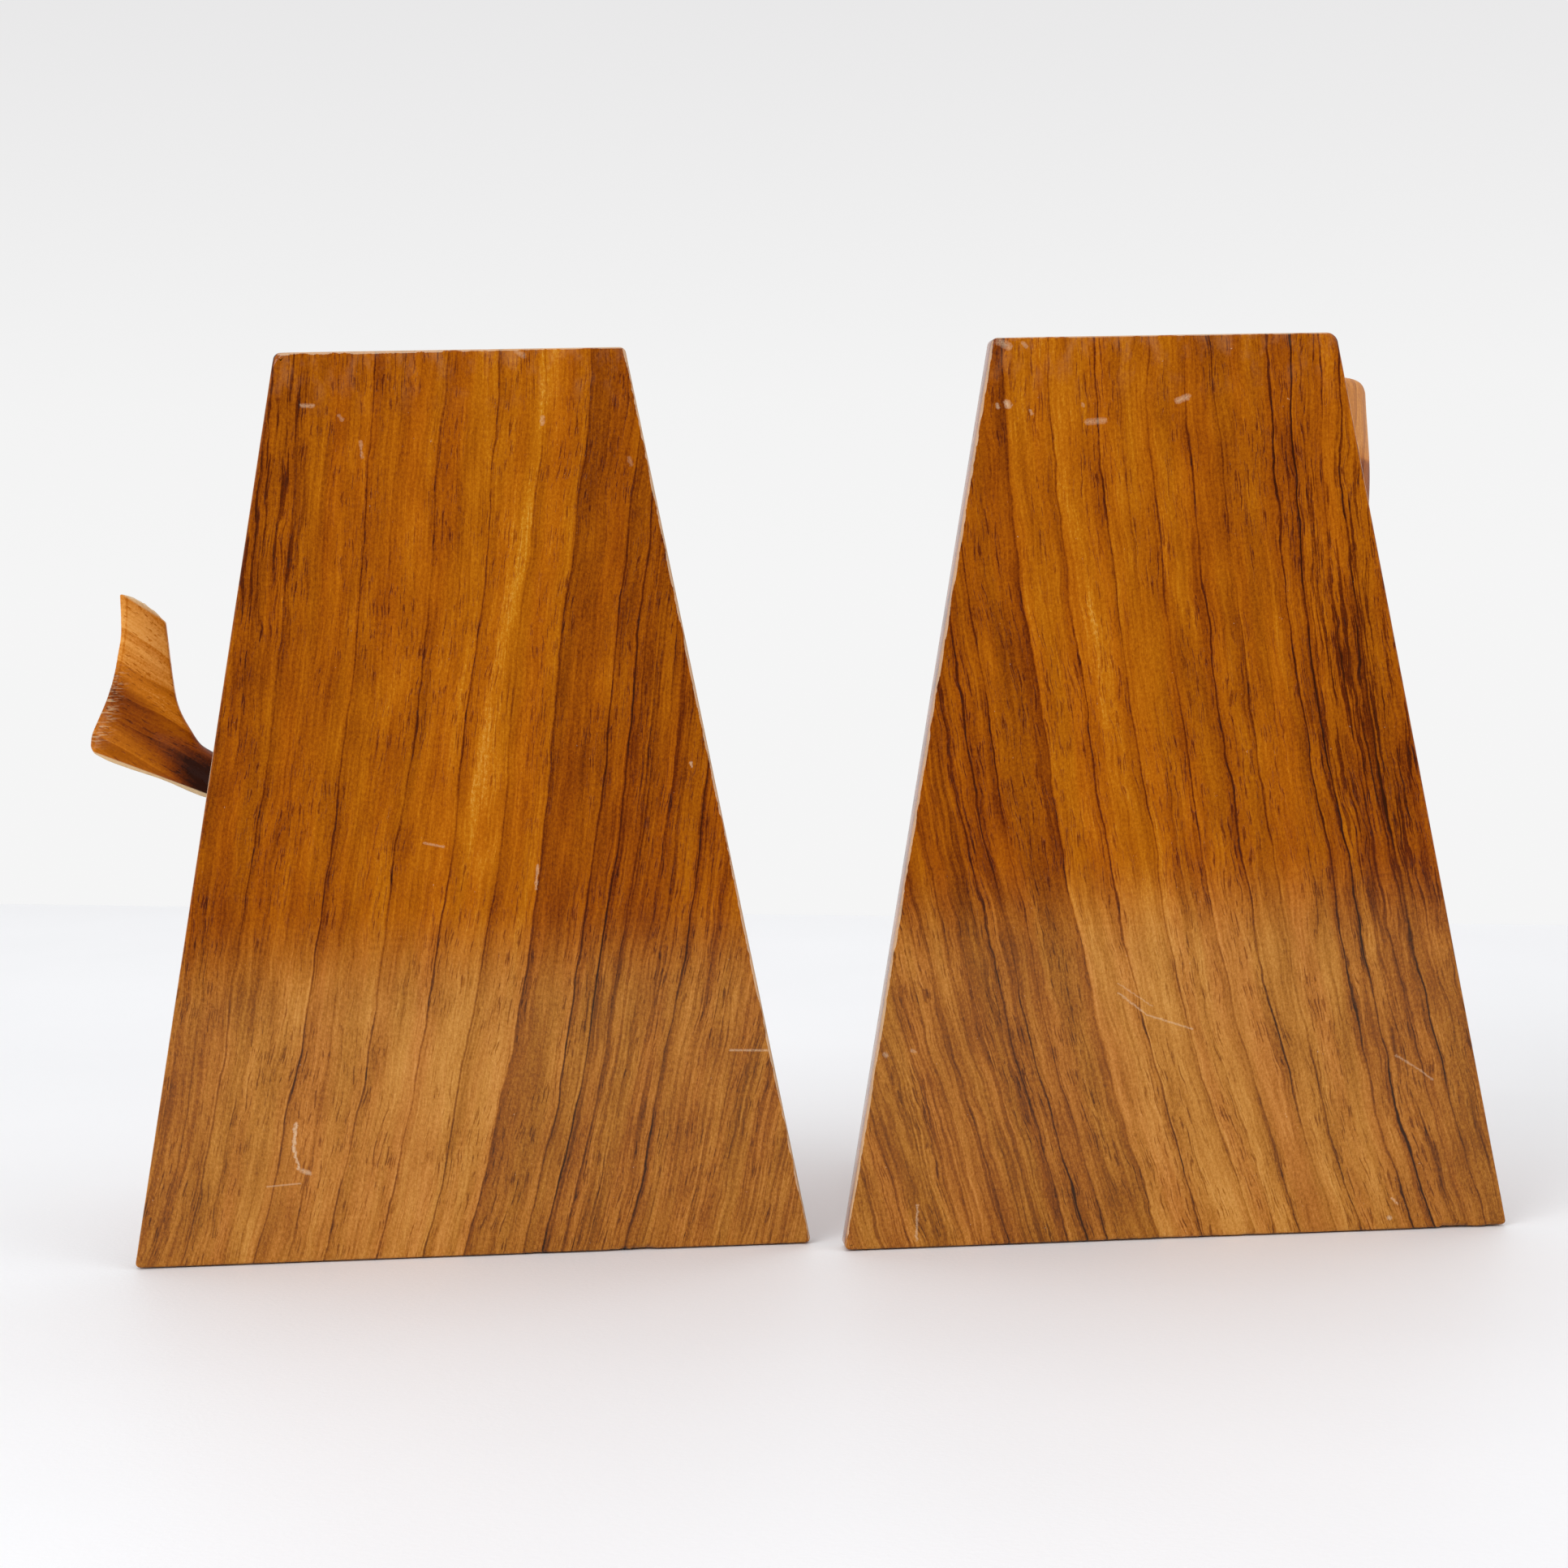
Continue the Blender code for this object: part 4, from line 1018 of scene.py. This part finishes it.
CARVING_TONES = [
    (0.0, (0.024, 0.0040, 0.0006)), (0.15, (0.105, 0.0180, 0.0008)),
    (0.30, (0.240, 0.0480, 0.0008)), (0.45, (0.370, 0.0950, 0.0012)),
    (0.60, (0.550, 0.1650, 0.0060)), (0.73, (0.760, 0.3150, 0.0560)),
    (0.85, (0.820, 0.4000, 0.1050)), (1.0, (0.880, 0.5400, 0.2400)),
]


def from_trailing(f, x, z):
    """How far in from the flukes' trailing edge a point is."""
    fall = f.math("POWER", f.stretch(z, 132.2, 100.7, smooth=False), 1.6)
    return f.total(x, f.line(fall, 7.7, 70.0))


def tail_heart_and_shade(f, x, y, z, over):
    """A dark heartwood band from the trailing edge down into the stem, with painted shade that darkens the
    stem next to the board and a painted shade line at the chamfer's crease; the upper lobe is pale.
    """
    band = f.stretch(f.size(f.minus(over, f.line(x, -0.19, 36.0))), 6.0, 0.8, 0.0, -0.27)
    # Painted shade: the stem goes near black next to the board, which keeps the light off it, on top of its
    # dark heartwood.
    stem = f.stretch(f.line(z, -0.55, x), -119.0, -104.0, 0.0, -0.36)
    stem = f.times(stem, f.stretch(x, -34.0, -48.0))
    upper = f.stretch(over, 44.0, 64.0, 0.0, 0.22)
    # Painted shade: a thin dark line where the chamfer of the trailing edge meets the blade.
    bevel = f.stretch(f.size(f.minus(from_trailing(f, x, z), 1.5)), 0.35, 0.05, 0.0, -0.08)
    return f.total(band, stem, upper, f.times(bevel, f.stretch(z, 106.0, 114.0)))


def tail_rubbing_and_highlight(f, x, y, z, speck):
    """Pale rubbed strokes across the trailing edge, and a pale upper tip and a pale lower edge that are
    partly rubbed and partly painted highlight where these rims catch light.
    """
    strokes = f.stretch(f.noise_at((x, 0.35), 2.0, (z, 2.4), detail=3, roughness=0.6), 0.50, 0.62)
    reach = f.times(f.stretch(from_trailing(f, x, z), 5.0, 0.8), f.stretch(x, -62.0, -66.0))
    reach = f.times(reach, f.stretch(z, 99.0, 104.0), f.stretch(z, 119.0, 113.0))
    # Painted highlight, partly rubbing: the rim of the lower edge as lit from the table below, and the cut
    # end of the upper tip.
    under = f.minus(z, f.line(x, -0.40, 68.3))
    lower = f.times(f.stretch(under, 0.75, 0.45), f.stretch(x, -46.0, -50.0))
    above = f.minus(z, f.line(x, -0.685, 84.2))
    tip = f.times(f.stretch(above, 0.0, 0.7, 0.0, 0.7), f.stretch(x, -58.0, -60.0))
    return f.most(f.times(strokes, reach, 0.42), f.times(lower, 0.8), tip)


def head_heart(f, x, y, z, over):
    """Sapwood at the crown that turns dark below it, on the outer side."""
    edge = f.noise_at((x, 0.10), (y, 0.10), (z, 0.03), detail=3)
    height = f.line(edge, 4.0, f.total(z, 2.0))
    crown = f.stretch(height, 157.3, 158.6, 0.0, 0.125)
    dark = f.times(f.stretch(height, 136.0, 154.0, 0.0, -0.14), f.stretch(height, 159.0, 157.5))
    return f.times(f.total(crown, dark), f.stretch(x, 18.0, 30.0), f.stretch(y, 58.0, 44.0))


def head_worn(f, x, y, z, speck):
    """Pale rubbed specks, and a yellower crown on the outer side."""
    crown = f.times(f.stretch(z, 153.0, 158.0, 0.0, 0.12), f.stretch(x, 18.0, 30.0))
    return f.most(f.stretch(speck, 0.62, 0.80, 0.0, 0.25), crown)


def no_heart(f, x, y, z, over):
    """For a carving without a band of other wood; over is its place square to the fibres."""
    return 0.0


def mottled(f, value, colours):
    """A colour that changes from the first to the second of a pair over the middle of a noise."""
    return f.ramp(value, [(0.3, colours[0]), (0.7, colours[1])])


def plain(name, colours, scale, roughness, bump, **fixed):
    """A plain finish with mottled colour and a fine uneven skin."""
    f = Finish(name, roughness)
    position = f.point(*f.place())
    mottle = f.noise(position, scale, detail=4, roughness=0.65)
    fine = f.noise(position, scale * 6)
    gloss = f.line(f.minus(mottle, 0.5), 0.3, roughness)
    return f.finish(mottled(f, mottle, colours), gloss, f.bump(fine, bump), **fixed)


def turned_metal(name, colours, roughness):
    """Metal with fine turning rings and a dulled skin."""
    f = Finish(name, roughness, 1.0)
    x, y, z = f.place()
    rings = f.noise_at((x, 0.3), (y, 0.3), (z, 9.0), detail=3)
    dull = f.noise(f.point(x, y, z), 0.35, detail=5, roughness=0.65)
    return f.finish(mottled(f, dull, colours), f.line(rings, 0.25, roughness - 0.1), f.bump(rings, 0.02))


FELT_TONES = [
    (0.25, (0.012, 0.036, 0.020)), (0.6, (0.030, 0.075, 0.042)), (0.85, (0.075, 0.13, 0.085)),
]


def felt_finish():
    """Matted wool fibres."""
    f = Finish("felt_green", 0.95)
    position = f.point(*f.place())
    matted = f.noise(position, 1.8, detail=6, roughness=0.75, distortion=1.5)
    hair = f.noise(position, 6.0, detail=3, roughness=0.7, distortion=3.0)
    normal = f.bump(matted, 0.25, f.bump(hair, 0.12))
    return f.finish(f.ramp(matted, FELT_TONES), None, normal, Sheen_Weight=0.35, Sheen_Roughness=0.5)


# ---------------------------------------------------------------- building the pair


def stand_for(piece, node, body, slot):
    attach(piece, body)
    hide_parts(node)


def build_side(side, finishes):
    board = make_board(side, finishes[f"board_{side}"])
    base = make_base(side, finishes["base"])
    felt = make_felt(side, finishes["felt"])
    if side == "left":
        figure = make_tail_stock(finishes["tail"])
        flukes = make_flukes(finishes["tail"], figure)
        bore_stand(side, board, base, figure, TAIL_FOOT)
        carved = [(figure, "left_tail_stock"), (flukes, "left_tail_flukes")]
    else:
        figure, carved = make_head(finishes["head"], finishes["jaw"], finishes["eye"])
        bore_stand(side, board, base, figure, HEAD_FOOT)
        carved.append((figure, "right_whale_head"))
    body = BODY[side]
    stand_for(board, f"{side}_upright_board", body, "board_wood")
    stand_for(base, f"{side}_base_board", body, "base_wood")
    stand_for(felt, f"{side}_base_felt", body, "felt")
    for piece, node in carved:
        stand_for(piece, node, body, "dark_wood" if "eye" in node else "carving_wood")


# For each kind of carving, the direction of its fibres and one square to it.
BASE_AXES = ((1, 0, 0), (0, 0.8, 0.6))
TAIL_AXES = ((0.82, 0, -0.57), (0.57, 0, 0.82))
HEAD_AXES = ((0.17, 0, 0.985), (0.985, 0, -0.17))
TAIL_SKIN = {"figure": 0.36, "middle": 0.51}
HEAD_SKIN = {"figure": 0.42, "middle": 0.50, "rough_skin": 0.42}
# The two colours that each plain or metal finish is mottled from.
EBONY = ((0.004, 0.003, 0.002), (0.018, 0.012, 0.009))
BIRCH = ((0.50, 0.32, 0.16), (0.70, 0.50, 0.28))
BRASS = ((0.42, 0.24, 0.07), (0.68, 0.44, 0.15))
STEEL = ((0.26, 0.25, 0.24), (0.48, 0.47, 0.46))

FINISHES = {
    "board_left": board_walnut("left"),
    "board_right": board_walnut("right"),
    "base": carving_walnut("walnut_base", BASE_AXES, WALNUT_TONES, no_heart, head_worn),
    "tail": carving_walnut("walnut_tail", TAIL_AXES, CARVING_TONES, tail_heart_and_shade, tail_rubbing_and_highlight, **TAIL_SKIN),
    "head": carving_walnut("walnut_head", HEAD_AXES, CARVING_TONES, head_heart, head_worn, **HEAD_SKIN),
    "jaw": carving_walnut("walnut_jaw", HEAD_AXES, CARVING_TONES, no_heart, head_worn, **HEAD_SKIN),
    "eye": plain("ebony", EBONY, 0.8, 0.22, 0.01, Coat_Weight=0.5),
    "felt": felt_finish(),
}
# The finishes of the pieces that keep their CAD mesh, by a word in their names.
CARRIED = {
    "dowel": plain("birch_dowel", BIRCH, 0.7, 0.6, 0.04),
    "screw": turned_metal("brass_screw", BRASS, 0.38),
    "slug": turned_metal("steel_slug", STEEL, 0.42),
}

for side_name in ("left", "right"):
    build_side(side_name, FINISHES)

for node_name, node_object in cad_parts.items():
    for word, carried_finish in CARRIED.items():
        if word in node_name:
            node_object.data.materials.clear()
            node_object.data.materials.append(carried_finish)

# ---------------------------------------------------------------- table, light and camera

# The table top lies askew to the pair; beyond its far edge is a plain pale wall.
TABLE_TURN = radians(-23.4)
TABLE_FAR = Vector((-0.281, 0.730, 0))
TABLE_NEAR = Vector((-0.064, -0.537, 0))
TABLE_HALF_LENGTH, TABLE_THICKNESS = 2.2, 0.02
TABLE_WHITES = ((0.885, 0.892, 0.905), (0.915, 0.922, 0.935))


def table_finish():
    f = Finish("white_table", 0.55)
    position = f.object_place()
    fine = f.noise(position, 900, detail=3)
    broad = f.noise(position, 6, detail=3)
    return f.finish(mottled(f, broad, TABLE_WHITES), None, f.bump(fine, 0.06))


def make_table():
    along = Vector((cos(TABLE_TURN), sin(TABLE_TURN), 0))
    across = Vector((-along.y, along.x, 0))
    near, far = across.dot(TABLE_NEAR), across.dot(TABLE_FAR)
    corners = []
    for reach, edge in ((-1, near), (1, near), (1, far), (-1, far)):
        corners.append(along * reach * TABLE_HALF_LENGTH + across * edge)
    mesh = bpy.data.meshes.new("table_top")
    top = [tuple(c) for c in corners]
    under = [(c.x, c.y, -TABLE_THICKNESS) for c in corners]
    faces = [(0, 1, 2, 3), (7, 6, 5, 4), (0, 4, 5, 1), (1, 5, 6, 2), (2, 6, 7, 3), (3, 7, 4, 0)]
    mesh.from_pydata(top + under, [], faces)
    table = bpy.data.objects.new("table_top", mesh)
    bpy.context.scene.collection.objects.link(table)
    mesh.materials.append(table_finish())


def make_world():
    """A pale room with a dim part opposite the boards' faces."""
    world = bpy.data.worlds.new("room")
    bpy.context.scene.world = world
    world.use_nodes = True
    n = Nodes(world.node_tree)
    direction = n.nodes.new("ShaderNodeTexCoord").outputs["Generated"]
    wall = n.ramp(n.vector("DOT_PRODUCT", direction, UP), WALL_TONES)
    dim = n.ramp(n.vector("DOT_PRODUCT", direction, DIM_DIRECTION), DIM_TONES)
    n.feed(n.nodes["Background"].inputs["Color"], n.blend(1.0, wall, dim, "MULTIPLY"))


def area_light(name, spot, target, size, power, colour):
    data = bpy.data.lights.new(name, "AREA")
    data.shape = "RECTANGLE"
    data.size, data.size_y = size
    data.energy = power
    data.color = colour
    light = bpy.data.objects.new(name, data)
    light.location = spot
    light.rotation_euler = (Vector(target) - Vector(spot)).to_track_quat("-Z", "Y").to_euler()
    bpy.context.scene.collection.objects.link(light)


# The room's grey by the height of the direction, and its dim part by how near a direction is to its middle.
WALL_TONES = [
    (0.0, (0.915, 0.915, 0.915)), (0.06, (0.90, 0.90, 0.90)), (0.20, (0.80, 0.795, 0.80)),
    (1.0, (0.80, 0.80, 0.81)),
]
DIM_DIRECTION = Vector((0.09, -1.0, -0.02)).normalized()
DIM_TONES = [(0.83, (1, 1, 1)), (0.945, (0.28, 0.23, 0.15))]
# Each light: where it hangs, what it points at, its size, power and colour.
LIGHTS = {
    "window": ((-0.95, -1.1, 0.85), (0, 0, 0.06), (0.9, 0.7), 9.8, (0.985, 1.0, 1.02)),
    "fill": ((1.05, -0.9, 0.8), (0, 0, 0.06), (0.8, 0.8), 2.9, (0.975, 0.995, 1.02)),
    "ceiling": ((0.1, 0.62, 1.0), (0.1, 0.42, 0), (1.6, 0.6), 1.7, (1, 1, 1)),
}
CAMERA_SENSOR, CAMERA_LENS = 36, 72.67
CAMERA_SPOT = Vector((-0.04907, -0.66508, 0.13087))
CAMERA_YAW, CAMERA_PITCH, CAMERA_ROLL = radians(4.463), radians(3.582), radians(1.262)


def make_camera():
    data = bpy.data.cameras.new("camera")
    data.sensor_width = CAMERA_SENSOR
    data.lens = CAMERA_LENS
    camera = bpy.data.objects.new("camera", data)
    turn = Matrix.Rotation(-CAMERA_YAW, 4, "Z") @ Matrix.Rotation(pi / 2 - CAMERA_PITCH, 4, "X")
    camera.matrix_world = Matrix.Translation(CAMERA_SPOT) @ turn @ Matrix.Rotation(-CAMERA_ROLL, 4, "Z")
    bpy.context.scene.collection.objects.link(camera)
    bpy.context.scene.camera = camera


make_table()
make_world()
for light_name, light_settings in LIGHTS.items():
    area_light(light_name, *light_settings)
make_camera()

scene = bpy.context.scene
scene.view_settings.view_transform = "Standard"
scene.view_settings.look = "None"
